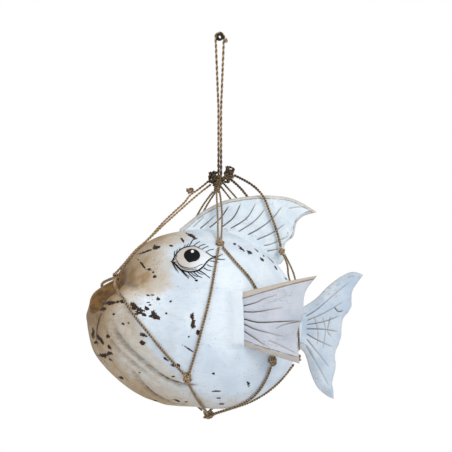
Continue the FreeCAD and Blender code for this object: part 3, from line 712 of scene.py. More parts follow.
def carve_body():
    d, f = ball(7)
    a, side = np.degrees(np.arctan2(d[:, 2], d[:, 0])), np.degrees(np.arcsin(np.clip(d[:, 1], -1, 1)))
    r = reach(a, side)
    solid = raw("carved_fish", MIDDLE + np.stack([r * np.cos(np.radians(a)), half_width(a, side) * np.sin(
        np.radians(side)), r * np.sin(np.radians(a))], -1), f)
    hollowed(solid, MOUTH_AT, MOUTH_HALF, FAR_LIP)
    hollowed(solid, THROAT_AT, THROAT_HALF)
    me = remeshed(solid, 1.25)
    bpy.data.objects.remove(solid)
    v, e = coords(me), edges_of(me)
    # true skin again, away from the mouth
    for _ in range(3):
        a, side, size = round_and_side(v)
        near = smooth((0.03 - np.abs(size - 1)) / 0.02)
        v = MIDDLE + (v - MIDDLE) * (1 + near * (1 / np.maximum(size, 0.2) - 1))[:, None]
    a, side, size = round_and_side(v)
    a = np.mod(a, 360.0)
    m = in_mouth(v)
    rim = np.hypot((m - 1) * 45, (size - 1) * 115)
    v = relax(v, e, np.exp(-(rim / 6.0) ** 2) * 0.6, 50)
    put(me, v)
    n = normals(me)
    m, size = in_mouth(v), round_and_side(v)[2]
    rim = np.hypot((m - 1) * 45, (size - 1) * 115)
    hollow = smooth((0.98 - size) / 0.03)
    skin_side = 1 - hollow
    ab = np.abs(side)
    # rolled lip, fuller below the opening
    lip = np.exp(-((rim - 3) / 6.0) ** 2) * smooth((a - 158) / 8) * smooth((200 - a) / 12) * (ab < 70)
    # folds carved under the jaw
    fold, ridge, line, fold_shade = (np.zeros(len(v)) for _ in range(4))
    for pts, deep_at, crack in FOLDS:
        away, along = near_line(a, ab * 1.9, [(p, q * 1.9) for p, q in pts])
        ends = smooth(along / 0.16) * smooth((1 - along) / 0.14) * skin_side
        fold = np.maximum(fold, deep_at * ends * np.exp(-(away / 3.6) ** 2))
        ridge = np.maximum(ridge, deep_at * ends * np.exp(-((away - 9) / 4.5) ** 2))
        line = np.maximum(line, ends * smooth((along - crack) / 0.08) * np.exp(-(away / 0.85) ** 2))
        fold_shade = np.maximum(fold_shade, ends * deep_at * np.exp(-(away / 6.5) ** 2))
    pleat = 0.9 * ridge - 2.6 * fold - 0.7 * line
    # snout's lower edge, above the mouth
    snout = np.exp(-((a - 151.5) / 3.2) ** 2) * smooth((52 - ab) / 14)
    marks = value_noise(v, 16.0, 1) * 0.35 + value_noise(v, 6.0, 2) * 0.13 + value_noise(v, 34.0, 3) * 0.5
    inside = value_noise(v * np.array([1, 0.5, 1]), 7.0, 4) * 0.7 * hollow
    x0 = v[:, 0].copy()
    v = v + n * (lip * 2.2 + pleat - snout * 1.3 * skin_side + marks * skin_side + inside)[:, None]
    v = relax(v, e, np.full(len(v), 0.35), 2)
    # the skin swells to meet the side fins
    z0 = v[:, 2]
    root = smooth((x0 + 19) / 15) * smooth((9 - x0) / 5) * smooth((z0 + 383) / 10) * smooth((-307 - z0) / 10)
    v[:, 1] += np.sign(v[:, 1]) * SWELL * root * (ab > 50)
    # colour fields
    x, z = v[:, 0], v[:, 2]
    front = smooth((-52 - x) / 70) * smooth((z + 334) / 36)
    brow = smooth((-16 - x) / 60) * smooth((z + 268) / 24) * 0.66
    jaw = smooth((63 - ab) / 9) * smooth((a - 158) / 10) * smooth((282 - a) / 60)
    jaw = jaw * (0.36 + 0.3 * smooth((46 - ab) / 26) + 0.16 * smooth((204 - a) / 24))
    # darker towards the bottom
    under = smooth((-420 - z) / 44) * 0.46 * smooth((70 - x) / 70)
    age_and_shade = np.clip(front * 0.95 + brow + jaw * 1.22 + under + np.exp(-(rim / 9) ** 2) * 0.5, 0, 1.1)
    age_and_shade = np.maximum(age_and_shade, 0.15 * smooth((0 - x) / 90))
    # painted shade: a browner strip along the middle line of the chin and belly
    keel_shade = np.exp(-((ab - 3) / 7) ** 2) * smooth((a - 178) / 12) * smooth((262 - a) / 30)
    age_and_shade = np.maximum(age_and_shade, keel_shade * 1.05)
    # painted shade along the jaw folds and the snout's lower edge
    groove_shade = np.clip(fold_shade * 0.75 + snout * 0.8, 0, 1)
    # painted shade, growing towards the inside of the mouth
    deep = smooth((0.97 - size) / 0.42)
    ob = bpy.data.objects.new("carved_fish", me)
    bpy.context.collection.objects.link(ob)
    put(me, v)
    for name, val in (("age_and_shade", age_and_shade), ("groove_shade", groove_shade), ("line", line), ("hollow", hollow), ("deep", deep),
                      ("root", root), ("chips", chip_field(v))):
        keep(me, name, val)
    me.materials.clear()
    me.materials.append(BODY_PAINT)
    me.polygons.foreach_set("use_smooth", [True] * len(me.polygons))
    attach(ob, NET)
    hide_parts("carved_body")
    return ob


BODY = carve_body()
BODY_TREE = BVHTree.FromObject(BODY, bpy.context.evaluated_depsgraph_get())

# --- fins ---------------------------------------------------------------------------------------
CREST = [(-51, -240), (-24, -219.5), (2, -206), (23, -201), (38, -199), (57, -197.5), (86, -199.5),
          (105, -205.5), (128, -218.5)]
DORSAL_REAR = [(128, -218.5), (111.5, -223), (104, -228), (100, -234), (97.5, -246), (95, -251)]
DORSAL_NOTCH = [(95, -251), (86, -257.5), (83.5, -264), (84.5, -276.5), (79.5, -284)]
DORSAL_FOOT = [(79.5, -284), (64, -286), (44, -268), (14, -253), (-18, -249.5), (-51, -254)]
TAIL_TOP = [(88, -346), (104, -343), (113, -338), (128.5, -328), (142, -315), (156, -304.5), (170, -297),
            (180, -295.5), (191, -299)]
TAIL_EDGES = [[(191, -299), (182.5, -310), (177, -318), (174.5, -328.5), (175.5, -338)],
              [(175.5, -338), (172, -344.5), (164.5, -353), (161.5, -361), (161, -377)],
              [(161, -377), (159, -383.5), (153.5, -395), (152, -404), (153.5, -417)],
              [(153.5, -417), (152, -423.5), (148.5, -436.5), (150, -447), (150.5, -458)]]
TAIL_LOW = [(150.5, -458), (141, -453), (129, -442), (120.5, -424.5), (115.5, -407.5), (111, -397),
            (102, -391), (88, -390)]
SIDE_TOP = [(5, 29), (26, 34), (42, 37.5), (69, 43.5), (102, 49.5)]
SIDE_REAR = [[(102, 49.5), (89, 33), (85.5, 20), (85, 4), (79, -12), (76.5, -26), (78.5, -41), (80.5, -55)]]
SIDE_LOW = [(80.5, -55), (52, -46), (32, -39.5), (17, -33.5), (5, -29.5)]
DORSAL = [CREST, DORSAL_REAR, DORSAL_NOTCH, DORSAL_FOOT, [(-51, -254), (-51, -240)]]
TAIL = [TAIL_TOP] + TAIL_EDGES + [TAIL_LOW, [(88, -390), (88, -346)]]
SIDE_FIN = [SIDE_TOP] + SIDE_REAR + [SIDE_LOW, [(5, -29.5), (5, 29)]]
# carved ribs: (points, strength where it starts, strength where it ends)
DORSAL_RIBS = [([(-36, -238), (-28, -231), (-20, -223)], .5, .4),
               ([(-27, -240), (-16, -231), (-5, -221)], .8, .5),
               ([(-15, -239), (0, -226), (12, -209)], .9, .8),
               ([(1, -238), (17, -225), (27, -206)], .9, .8),
               ([(12, -240), (34, -226), (47, -205)], .9, .6),
               ([(22, -244), (44, -230), (60, -212)], .8, .6),
               ([(34, -248), (51, -239), (67, -227), (83, -208)], .9, .5),
               ([(46, -254), (67, -245), (86, -232)], .8, .5),
               ([(55, -261), (66, -259), (91, -248)], .7, .4), ([(60, -268), (77, -265)], .8, .5),
               ([(88, -214), (106, -212), (119, -216)], .5, .3)]
TAIL_RIBS = [([(110, -352), (126, -343), (150, -324), (176, -304)], .7, .3),
             ([(112, -357), (137, -347), (166, -331)], .6, .4),
             ([(112, -362), (137, -358), (160, -350)], .7, .5),
             ([(112, -367), (135, -368), (158, -372)], .8, .5),
             ([(112, -373), (130, -383), (151, -392)], .8, .4),
             ([(112, -379), (128, -398), (146, -420)], .7, .3),
             ([(111, -386), (122, -404), (136, -428), (146, -446)], .6, .3),
             ([(123, -352), (128, -372), (126, -392)], .5, .3),
             ([(134, -352), (138, -370), (134, -396)], .5, .3),
             ([(145, -352), (141, -370), (148, -380)], .6, .4),
             ([(150, -340), (156, -346), (163, -344)], .9, .6)]
SIDE_RIBS = [([(8, 14), (17, 16), (28, 19), (37, 23), (55, 28)], .9, .3),
             ([(8, 8), (26, 7.5), (44, 10), (64, 13)], 1, .3),
             ([(9, 0), (17, -2), (24, -4), (35, -5), (67, -4), (84, -3)], 1.1, .6),
             ([(9, -5), (17, -9), (26, -13), (44, -18), (55, -21), (66, -22)], 1, .3),
             ([(7, -11), (17, -18), (26, -24), (33, -29), (42, -34)], 1, .5),
             ([(41, -26), (53, -31), (67, -38), (78, -43)], .5, .4),
             ([(50, -13), (58, -9), (70, -6), (84, -4)], .4, .8)]


def plank(name, outline, bevels, ribs, node, mat, half=5.0, rim=1.7, place=None, seed=0, voxel=0.75):
    """A carved board. Each free edge has a bevel: (width at its start, at its end, how bare it is worn)."""
    border = np.vstack([rounded(o, 1.0)[:-1] for o in outline])
    bm = bmesh.new()
    front = [bm.verts.new((x / 1000, -half / 1000, z / 1000)) for x, z in border]
    back = [bm.verts.new((x / 1000, half / 1000, z / 1000)) for x, z in border]
    bm.faces.new(front)
    bm.faces.new(back[::-1])
    for i in range(len(border)):
        j = (i + 1) % len(border)
        bm.faces.new((front[j], front[i], back[i], back[j]))
    bmesh.ops.triangulate(bm, faces=bm.faces[:])
    bmesh.ops.recalc_face_normals(bm, faces=bm.faces[:])
    me = bpy.data.meshes.new(name)
    bm.to_mesh(me)
    bm.free()
    ob = bpy.data.objects.new(name, me)
    bpy.context.collection.objects.link(ob)
    me = remeshed(ob, voxel)
    v, e = coords(me), edges_of(me)
    x, z = v[:, 0].copy(), v[:, 2].copy()
    wob = value_noise(np.stack([x, z * 0 + seed * 9, z], -1), 22.0, seed)
    h, arris, band, edge = np.full(len(v), half), np.zeros(len(v)), np.zeros(len(v)), np.zeros(len(v))
    for o, bevel in zip(outline, bevels):
        if bevel is None:
            continue
        d, along = near_line(x, z, rounded(o, 2.0))
        b = (bevel[0] + (bevel[1] - bevel[0]) * along) * (1 + 0.16 * wob)
        h = np.minimum(h, rim + (half - rim) * np.clip(d / b, 0, 1))
        arris = np.maximum(arris, np.exp(-((d - b) / 0.9) ** 2) * bevel[2])
        band = np.maximum(band, smooth((b - d) / 1.3) * bevel[2])
        edge = np.maximum(edge, np.exp(-(d / 1.4) ** 2))
    h = h - 0.2 * arris
    line, groove = np.zeros(len(v)), np.zeros(len(v))
    for pts, s0, s1 in ribs:
        dist, along = near_line(x, z, rounded(pts, 2.0))
        s = (s0 + (s1 - s0) * along) * smooth(along / 0.06 + 0.1) * smooth((1 - along) / 0.2)
        line = np.maximum(line, s * np.exp(-(dist / 0.75) ** 2))
        groove = np.maximum(groove, s * np.exp(-(dist / 1.5) ** 2))
    h = h - groove * 0.9 + wob * 0.25 + value_noise(np.stack([x, np.sign(v[:, 1]) * 9, z], -1), 5.0,
                                                    seed + 1) * 0.1
    v[:, 1] = v[:, 1] / half * np.maximum(h, 0.6)
    v = relax(v, e, np.full(len(v), 0.3), 2)
    if place is not None:
        v = place(v)
    put(me, v)
    out = bpy.data.objects.new(name, me)
    bpy.data.objects.remove(ob)
    bpy.context.collection.objects.link(out)
    wear = value_noise(np.stack([x, np.sign(v[:, 1]) * 5, z], -1), 11.0, seed + 2) * 0.35 + 0.65
    keep(me, "edge", edge * wear)
    keep(me, "arris", arris)
    keep(me, "band", band)
    keep(me, "line", line)
    # painted shade in the rib grooves
    keep(me, "groove_shade", np.clip(groove * 0.5, 0, 1))
    me.materials.clear()
    me.materials.append(mat)
    me.polygons.foreach_set("use_smooth", [True] * len(me.polygons))
    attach(out, NET)
    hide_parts(node)
    return out


ROOT_DIP, SLOPE, SIDE_AT = 6.0, -4.0, np.array([-7.0, -88.0, -345.0])


def beside(sign):
    """Places a side fin on the fish's left (-1) or right (+1)."""
    t = math.radians(SLOPE)

    def move(v):
        # its root dips into the body
        v = v + np.stack([v[:, 0] * 0, ROOT_DIP * smooth((16 - v[:, 0]) / 12), v[:, 0] * 0], -1)
        w = np.stack([v[:, 0] * math.cos(t) - v[:, 1] * math.sin(t),
                      v[:, 0] * math.sin(t) + v[:, 1] * math.cos(t),
                      v[:, 2]], -1) + SIDE_AT
        if sign > 0:
            w[:, 1] *= -1
        return w
    return move


plank("dorsal_board", DORSAL, [(3.6, 4.2, .75), (4, 3.5, .7), (2.5, 2, .5), None, None], DORSAL_RIBS,
      "dorsal_fin",
      DORSAL_PAINT, seed=1)
plank("tail_board", TAIL, [(7, 5, .5)] + [(4, 4, .4)] * 4 + [(7, 7, .5), None], TAIL_RIBS, "tail_fin",
      TAIL_PAINT, seed=2)
for who, sign in (("left", -1), ("right", 1)):
    fin = plank(who + "_side_board", SIDE_FIN, [(6.4, 2.8, 1), (1.2, 1.2, .5), (7.4, 6, .85), None],
                SIDE_RIBS, who + "_fin",
                SHADED_SIDE_PAINT, place=beside(sign), seed=3 + sign)
    if sign > 0:
        fin.data.flip_normals()

# --- cords and knots ----------------------------------------------------------------------------
def spline_points(pts):
    """The route's smooth line: a NURBS spline through these control points, read off as points."""
    cu = bpy.data.curves.new("route", "CURVE")
    cu.dimensions = "3D"
    cu.resolution_u = 12
    sp = cu.splines.new("NURBS")
    sp.points.add(len(pts) - 1)
    for p, q in zip(sp.points, pts):
        p.co = (q[0] / 1000, q[1] / 1000, q[2] / 1000, 1)
    sp.order_u = 3
    sp.use_endpoint_u = True
    ob = bpy.data.objects.new("route", cu)
    me = bpy.data.meshes.new_from_object(ob)
    out = coords(me)
    bpy.data.objects.remove(ob)
    bpy.data.curves.remove(cu)
    bpy.data.meshes.remove(me)
    return out


def evenly(line, step, closed=False):
    if closed:
        line = np.vstack([line, line[:1]])
    s = np.concatenate([[0], np.cumsum(np.linalg.norm(np.diff(line, axis=0), axis=1))])
    n = max(8, int(round(s[-1] / step)))
    t = np.linspace(0, s[-1], n + (0 if closed else 1), endpoint=not closed)
    return np.stack([np.interp(t, s, line[:, k]) for k in range(3)], -1), t, s[-1]


def turned_frames(line, closed=False):
    """Side directions carried along the line without twisting."""
    tan = np.roll(line, -1, 0) - np.roll(line, 1, 0) if closed else np.gradient(line, axis=0)
    tan /= np.linalg.norm(tan, axis=1)[:, None]
    ref = np.array([0, 0, 1.0]) if abs(tan[0][2]) < 0.8 else np.array([1.0, 0, 0])
    u = np.cross(tan[0], ref)
    u /= np.linalg.norm(u)
    us = []
    for t in tan:
        u = u - t * (u @ t)
        u /= np.linalg.norm(u)
        us.append(u)
    us = np.array(us)
    return tan, us, np.cross(tan, us)


def strands(line, d, ply=2, lay=2.6, seed=0, closed=False):
    """Twisted strands along a line: vertices, faces, uv and how far each point lies inside the twist, which
    sets the painted shade between strands.
    """
    line, s, total = evenly(line, d * 0.2, closed)
    tan, u, w = turned_frames(line, closed)
    twist = 2 * np.pi * s / (d * lay)
    if closed:
        end = u[-1] - tan[0] * (u[-1] @ tan[0])
        gap = math.atan2(end @ w[0], end @ u[0])
        turns = round((2 * np.pi * total / (d * lay) + gap) * ply / (2 * np.pi)) * 2 * np.pi / ply
        twist = s / total * (turns - gap)
    sides = 9
    r_off, r_s = (0.245, 0.265) if ply == 2 else (0.25, 0.24)
    verts, faces, uv, strand_shade = [], [], [], []
    base = 0
    wob = 1 + 0.06 * np.sin(s * 0.31 + seed) + 0.05 * np.sin(s * 0.83 + 2 * seed)
    for k in range(ply):
        ang = twist + 2 * np.pi * k / ply + 0.25 * np.sin(s * 0.17 + seed + k)
        out = u * np.cos(ang)[:, None] + w * np.sin(ang)[:, None]
        centre = line + out * (d * r_off * wob)[:, None]
        side = np.cross(tan, out)
        for j in range(sides):
            t = 2 * np.pi * j / sides
            lump = 1 + 0.05 * math.sin(3 * t + k) * np.sin(s * 1.7 / d + j)
            ring = out * math.cos(t) * (d * r_s) + side * math.sin(t) * (d * r_s * 1.12)
            verts.append(centre + ring * lump[:, None])
            # painted shade on the side of each strand that faces the cord's middle
            strand_shade.append(np.full(len(s), 0.5 - 0.5 * math.cos(t)))
            uv.append(np.stack([s, np.full(len(s), j / sides * 3.0 + k * 11.0)], -1))
        n = len(s)
        grid = np.arange(n * sides).reshape(sides, n) + base
        nxt = np.roll(grid, -1, 0)
        if closed:
            a, b, c, e = grid, nxt, np.roll(nxt, -1, 1), np.roll(grid, -1, 1)
        else:
            a, b, c, e = grid[:, :-1], nxt[:, :-1], nxt[:, 1:], grid[:, 1:]
        faces += [np.stack([q.ravel() for q in (a, b, c, e)], -1)]
        if not closed:
            for col, flip in ((0, True), (n - 1, False)):
                cap = grid[:, col]
                faces.append(("cap", cap[::-1] if flip else cap))
        base += n * sides
    v = np.vstack(verts)
    quads = [tuple(q) for f in faces if not isinstance(f, tuple) for q in f]
    caps = [tuple(f[1]) for f in faces if isinstance(f, tuple)]
    return v, quads + caps, np.vstack(uv), np.concatenate(strand_shade)


def fuzz(line, d, count, seed):
    """Loose fibres standing off the cord, as thin three-sided hairs."""
    r = np.random.default_rng(seed)
    line = evenly(line, d * 0.3)[0]
    tan, u, w = turned_frames(line)
    v, f = [], []
    for _ in range(count):
        i = r.integers(1, len(line) - 1)
        a = r.uniform(0, 2 * np.pi)
        out = u[i] * math.cos(a) + w[i] * math.sin(a)
        p = line[i] + out * d * 0.44
        way = tan[i] * r.choice([-1, 1]) * r.uniform(0.5, 1.0) + out * r.uniform(0.25, 0.8)
        way /= np.linalg.norm(way)
        ln = r.uniform(1.0, 3.2)
        curl = out * r.uniform(-0.6, 0.5) * ln
        mids = [p, p + way * ln * 0.5 + curl * 0.12, p + way * ln + curl * 0.4]
        side = np.cross(way, out)
        side /= np.linalg.norm(side)
        b = len(v)
        for q, wd in zip(mids, (0.06, 0.045, 0.015)):
            v += [q + side * wd, q - side * wd, q + out * wd]
        for k in (0, 3):
            f += [(b + k, b + k + 1, b + k + 4, b + k + 3), (b + k + 1, b + k + 2, b + k + 5, b + k + 4),
                  (b + k + 2, b + k, b + k + 3, b + k + 5)]
        f += [(b, b + 2, b + 1), (b + 6, b + 7, b + 8)]
    return v, f


def rope_object(name, bits, mat, body=NET, replaces=()):
    verts, faces, uvs, strand_shade = [], [], [], []
    base = 0
    for v, f, uv, c in bits:
        verts.append(v)
        faces += [tuple(i + base for i in q) for q in f]
        uvs.append(uv)
        strand_shade.append(c)
        base += len(v)
    ob = add(name, np.vstack(verts), faces, mat, body, replaces)
    me = ob.data
    keep(me, "strand_shade", np.concatenate(strand_shade))
    uv = np.vstack(uvs)
    layer = me.uv_layers.new(name="strand")
    loops = np.empty(len(me.loops), dtype=np.int64)
    me.loops.foreach_get("vertex_index", loops)
    layer.data.foreach_set("uv", uv[loops].astype(np.float32).ravel())
    return ob


def hairs(line, d, count, seed):
    v, f = fuzz(line, d, count, seed)
    v = np.array(v)
    return v, f, np.stack([v[:, 0] * 0.3, np.zeros(len(v))], -1), np.zeros(len(v))


for i, (name, (d, guide)) in enumerate(CORDS.items()):
    line = spline_points(route(guide, d))
    length = float(np.linalg.norm(np.diff(line, axis=0), axis=1).sum())
    smooth_one = name.startswith("front")
    bits = [strands(line, d * 1.06, 2, 3.0 if smooth_one else 1.9, i),
            hairs(line, d, int(length * 0.5), 100 + i)]
    rope_object(name + "_rope", bits, JUTE_SMOOTH if smooth_one else JUTE_PALE if i % 3 == 1 else JUTE,
                replaces=(name,))

# loop over the eye
R_LOOP, NECK, FOOT, END = 5.4, 92.0, 1.65, -177.5
slope = math.atan2(R_LOOP - FOOT, NECK)
arc = [(-R_LOOP * math.cos(t), 0, R_LOOP * math.sin(t)) for t in np.linspace(-slope, math.pi + slope, 40)]
leg = [(-FOOT, 0, END), (-FOOT, 0, -140.0), (-FOOT, 0, -112.0), (-FOOT, 0, -NECK - 9),
       (-FOOT - 0.06, 0, -NECK + 4)]
loop_line = np.array(leg + arc + [(-x, y, z) for x, y, z in leg[::-1]])
rope_object("loop_rope",
            [strands(evenly(loop_line, 1.0)[0], LOOP_D * 1.08, 2, 4.2, 3),
             hairs(loop_line, LOOP_D, 150, 5)],
            JUTE, "loop", ("loop_cord",))


def knot_line(half, kind, seed):
    """A closed tangle filling an ellipsoid of those half sizes."""
    t = np.linspace(0, 2 * np.pi, 140, endpoint=False)
    r = np.random.default_rng(seed)
    if kind == "over":
        p = np.stack([np.sin(t) + 2 * np.sin(2 * t), np.cos(t) - 2 * np.cos(2 * t), -1.7 * np.sin(3 * t)],
                     -1) / 3.0
        p[:, 2] *= 1.25
    else:
        n = 3
        p = np.stack([np.cos(n * t) * (0.72 + 0.28 * np.cos(t)), np.sin(n * t) * (0.72 + 0.28 * np.cos(t)),
                      0.8 * np.sin(t)], -1)
    ax = r.normal(size=3)
    rot = np.array(Matrix.Rotation(r.uniform(0, 6.28), 3,
                                   Vector(ax).normalized())) if kind == "over" else np.eye(3)
    return (p @ rot.T) * np.asarray(half)


def tie(name, at, half, d, node, mats, seed=0, turn=None, body=NET, kinds=("over", "over")):
    bits = []
    at, half = np.array(at, float), np.array(half, float)
    inner = np.maximum(half - d * 0.5, d * 0.3)
    for k, kind in enumerate(kinds):
        line = knot_line(inner * (1.0 - 0.12 * k), kind, seed * 7 + k)
        if turn is not None:
            line = line @ np.array(Matrix.Rotation(math.radians(turn[0]), 3, Vector(turn[1]))).T
        bits.append(strands(line + at, d, 2, 2.6, seed + k, closed=True))
        bits.append(hairs(line + at, d, 26, seed * 31 + k))
    return rope_object(name, bits, mats, body, (node,))


def bundle(name, at, half, d, node, mat):
    """Cords gathered side by side down a knot's middle, with two turns round them."""
    bits = []
    at, half = np.array(at, float), np.array(half, float)
    for k in range(8):
        t = 2 * np.pi * k / 8
        s = np.linspace(-1, 1, 24)
        r = (half[0] - d * 0.5) * (0.86 + 0.14 * np.cos(s * 2.4 + k)) * np.where(s < 0, 1 + 0.16 * s, 1)
        turn = t + 0.5 * s
        line = np.stack([r * np.cos(turn) + 1.6 * s, r * np.sin(turn),
                         s * (half[2] - 0.6 * (k % 3)) + 1.5 * (s + 1)], -1) + at
        bits += [strands(line, d, 2, 2.4, k), hairs(line, d, 14, 400 + k)]
    for k, z in enumerate((3.6, 0.6)):
        t = np.linspace(0, 2 * np.pi, 40, endpoint=False)
        r = half[0] + 0.2 * np.sin(3 * t)
        line = np.stack([r * np.cos(t), r * np.sin(t), z + 1.2 * np.sin(t + k)], -1) + at
        bits.append(strands(line, d, 2, 2.4, k, closed=True))
    return rope_object(name, bits, mat, NET, (node,))


KNOT_SCALE = {"main_knot_right": (1.16, 1.04, 1.3), "main_knot_left": (1.04, 1.04, 1.1)}
# main_knot_left and dorsal_knot_right take the jute in painted shade
KNOT_LOOK = {"main_knot_left": JUTE_SHADED, "main_knot_right": JUTE, "main_wrap": JUTE_SMOOTH,
             "dorsal_knot_right": JUTE_SHADED}
for i, (name, (at, half)) in enumerate(KNOTS.items()):
    d = CORD_D * 0.9 if min(half) > 4 else THIN_D * 0.85
    if name == "main_wrap":
        bundle(name + "_rope", at, half, 2.3, name, JUTE_SMOOTH)
        continue
    kinds = ("over", "over") if min(half) < 6 else ("wrap", "over", "over")
    tie(name + "_rope", at, np.multiply(half, KNOT_SCALE.get(name, 1.04)), d, name,
        KNOT_LOOK.get(name, JUTE if i % 2 else JUTE_PALE), i + 1,
        kinds=kinds, turn=(24, (0, 1, 0)) if name == "main_knot_right" else None,
        body="loop" if name == "loop_knot" else NET)

# --- painted eyes -------------------------------------------------------------------------------
# strokes in millimetres from the pupil's middle: (points, width at the start, in the middle, at the end)
EYE_AT = np.array([-52.0, -68.0, -272.0])
EYE_SCALE = 1 / 1.056
UPPER_LID = [(-24.8, -6.9), (-21.6, -1.1), (-16.8, 5.8), (-11, 9.8), (-4.6, 11.7), (2.3, 12.5), (7.1, 10.8),
             (12.4, 8.2), (17.2, 5), (24.1, 0.5)]
LOWER_LID = [(-24.8, -6.9), (-20, -10.6), (-13.9, -16.5), (-5.7, -19.6), (-0.4, -19.6), (8.1, -17.8),
             (14, -13.3),
             (17.7, -8.5), (21.4, -4.8), (25.1, -2.7)]
BLACK_STROKES = [
    (UPPER_LID[:5], 1.2, 1.3, 1.0), (UPPER_LID[4:8], 0.8, 0.5, 0.3),
    ([(17.2, 5), (24.1, 0.5), (28.3, -0.5), (33.1, -0.3), (38.4, 2.7)], 0.7, 1.0, 0.4),
    (LOWER_LID[:4], 1.7, 1.3, 1.3), (LOWER_LID[3:7], 1.3, 1.6, 1.7),
    (LOWER_LID[6:] + [(29.4, -2.1)], 1.7, 1.6, 1.1),
    ([(29, -2.6), (35, -4.2), (41.6, -4)], 0.9, 0.6, 0.3),
    ([(-26.5, -7.2), (-22.5, -5.2), (-19, -2)], 0.8, 1.0, 0.3),
    # lashes above
    ([(-3.3, 12.6), (-1.4, 15.4), (0.2, 17.5)], 0.6, 0.5, 0.2),
    ([(2.5, 13), (6, 16), (10.2, 18.1)], 0.6, 0.5, 0.2),
    ([(7.9, 10.9), (12, 13.4), (16.9, 14.6)], 0.6, 0.5, 0.2),
    ([(12.4, 8.2), (16.4, 10.8), (20.9, 12.2)], 0.6, 0.5, 0.2),
    ([(17.2, 5), (22, 7.4), (27.5, 8.5)], 0.6, 0.5, 0.2),
    ([(-10.2, 10.1), (-9.4, 12.4), (-7.8, 14.1)], 0.6, 0.5, 0.2),
    ([(-15.8, 7), (-15.2, 9), (-14.7, 10.6)], 0.6, 0.5, 0.2),
    ([(-21.9, 0), (-21.8, 3.6), (-20.8, 6.9)], 0.9, 0.8, 0.2),
    ([(-19.4, 3), (-19, 5.6), (-17.8, 8.4)], 0.6, 0.5, 0.2),
    ([(-6.8, 11.6), (-5.4, 14), (-3.9, 15.6)], 0.5, 0.4, 0.2),
    # lashes below
    ([(-24.3, -7.6), (-20.6, -14), (-16.3, -20.7)], 1.2, 0.7, 0.3),
    ([(-24, -9), (-21.6, -14), (-18.8, -18.6)], 1.0, 0.6, 0.3),
    ([(-21, -10.4), (-17.4, -14.8), (-14.6, -17.6)], 0.8, 0.5, 0.3),
    ([(-15.4, -15.4), (-9.6, -22.2), (-3.6, -27.9)], 1.3, 1.0, 0.4),
    ([(-11.8, -18), (-7.4, -22.6), (-2.8, -25.6)], 0.8, 0.6, 0.3),
    ([(-5.2, -19.6), (-0.6, -24.4), (4.4, -28.6)], 1.0, 0.8, 0.9),
    ([(-1.8, -20), (3, -24), (7.8, -26)], 0.6, 0.5, 0.3),
    ([(2.3, -20), (7.2, -24.2), (12.9, -27.1)], 0.9, 0.7, 0.3),
    ([(5.8, -19), (10, -21.8), (14.6, -23)], 0.7, 0.5, 0.3),
    ([(9.2, -18), (15, -21.5), (22.7, -27.6)], 0.9, 0.7, 0.4),
    ([(15, -14.6), (19, -17.2), (24.1, -18.3)], 0.8, 0.6, 0.3),
    ([(19, -10.6), (22.4, -12.6), (26.2, -13)], 0.7, 0.5, 0.3),
    ([(23, -6), (26.7, -6.6), (33.1, -8.2)], 0.7, 0.5, 0.3),
    ([(5, 21.2), (1.8, 20.4), (-0.6, 17.5), (-3, 13)], 0.4, 0.6, 0.4),
]
BROWN_STROKES = [
    ([(-18.7, 0.5), (-19.8, -3.2), (-17.9, -7.4), (-14.7, -11.7), (-9.4, -14.3), (-2.5, -15.7),
      (3.9, -14.9),
      (9.2, -12.2), (13.4, -10.6)], 0.5, 0.7, 0.4),
    ([(-17.6, -9.6), (-13.4, -13.8), (-8.2, -16.6), (-1, -17.6), (6, -16.6)], 0.4, 0.5, 0.3),
    ([(-24.5, -7), (-21, -8.2), (-18.4, -7.6)], 0.5, 0.5, 0.3),
]


def eyeball_look():
    look = Look("eye white", 0.4)
    n, fine = look.noise(9, 3, 0.6), look.noise(1.8, 3, 0.6, seed=2)
    # painted shade: the eye white is beige-grey at its left and top, whiter to the right and below
    c = look.mix((look.attr("away") + (n - 0.5) * 0.4).step(0.1, 0.8), "#cdc5bc", "#e4e9ed")
    c = look.mix(fine.step(0.55, 0.8) * 0.25, c, "#9b8f86")
    return look.done(c, None, fine, 0.3, 0.12)


EYE_WHITE = eyeball_look()
EYE_BLACK = plain("black paint", "#090706", "#040404", 0.5, 1.2, Specular_IOR_Level=0.2)
EYE_BROWN = plain("brown paint", "#6c6058", "#4d433c", 0.5, 1.5)
EYE_GLINT = plain("glint paint", "#f4f8fb", "#e6edf2", 0.35, 1.0)
VIEWPOINT = np.array(cam.location) * 1000.0


def onto_body(uv, lift, sign):
    """Points of the eye's plane carried onto the wood, `lift` above it; sign -1 is the fish's left."""
    out = []
    for (u, v), h in zip(uv, np.broadcast_to(lift, len(uv))):
        q = EYE_AT + (ACROSS * u + np.array([0, 0, v])) * EYE_SCALE
        way = q - VIEWPOINT
        way /= np.linalg.norm(way)
        start = q - way * 120
        if sign > 0:
            start, way = start * [1, -1, 1], way * [1, -1, 1]
        hit, n, _, _ = BODY_TREE.ray_cast(Vector(start / 1000.0), Vector(way))
        out.append(np.array(hit) * 1000.0 + np.array(n) * h)
    return np.array(out)


def painted(name, uv, faces, border, lift, mat, sign):
    """A coat of paint with a little body: top skin, underside in the wood, and the edge between."""
    uv = np.asarray(uv, float)
    top, low = onto_body(uv, lift, sign), onto_body(uv, -0.5, sign)
    n = len(uv)
    f = [tuple(q) for q in faces] + [tuple(i + n for i in q[::-1]) for q in faces]
    f += [(a, a + n, b + n, b) for a, b in zip(border, border[1:] + border[:1])]
    ob = add(name, np.vstack([top, low]), f, mat, NET, ())
    bm = bmesh.new()
    bm.from_mesh(ob.data)
    bmesh.ops.recalc_face_normals(bm, faces=bm.faces)
    bm.to_mesh(ob.data)
    bm.free()
    return ob


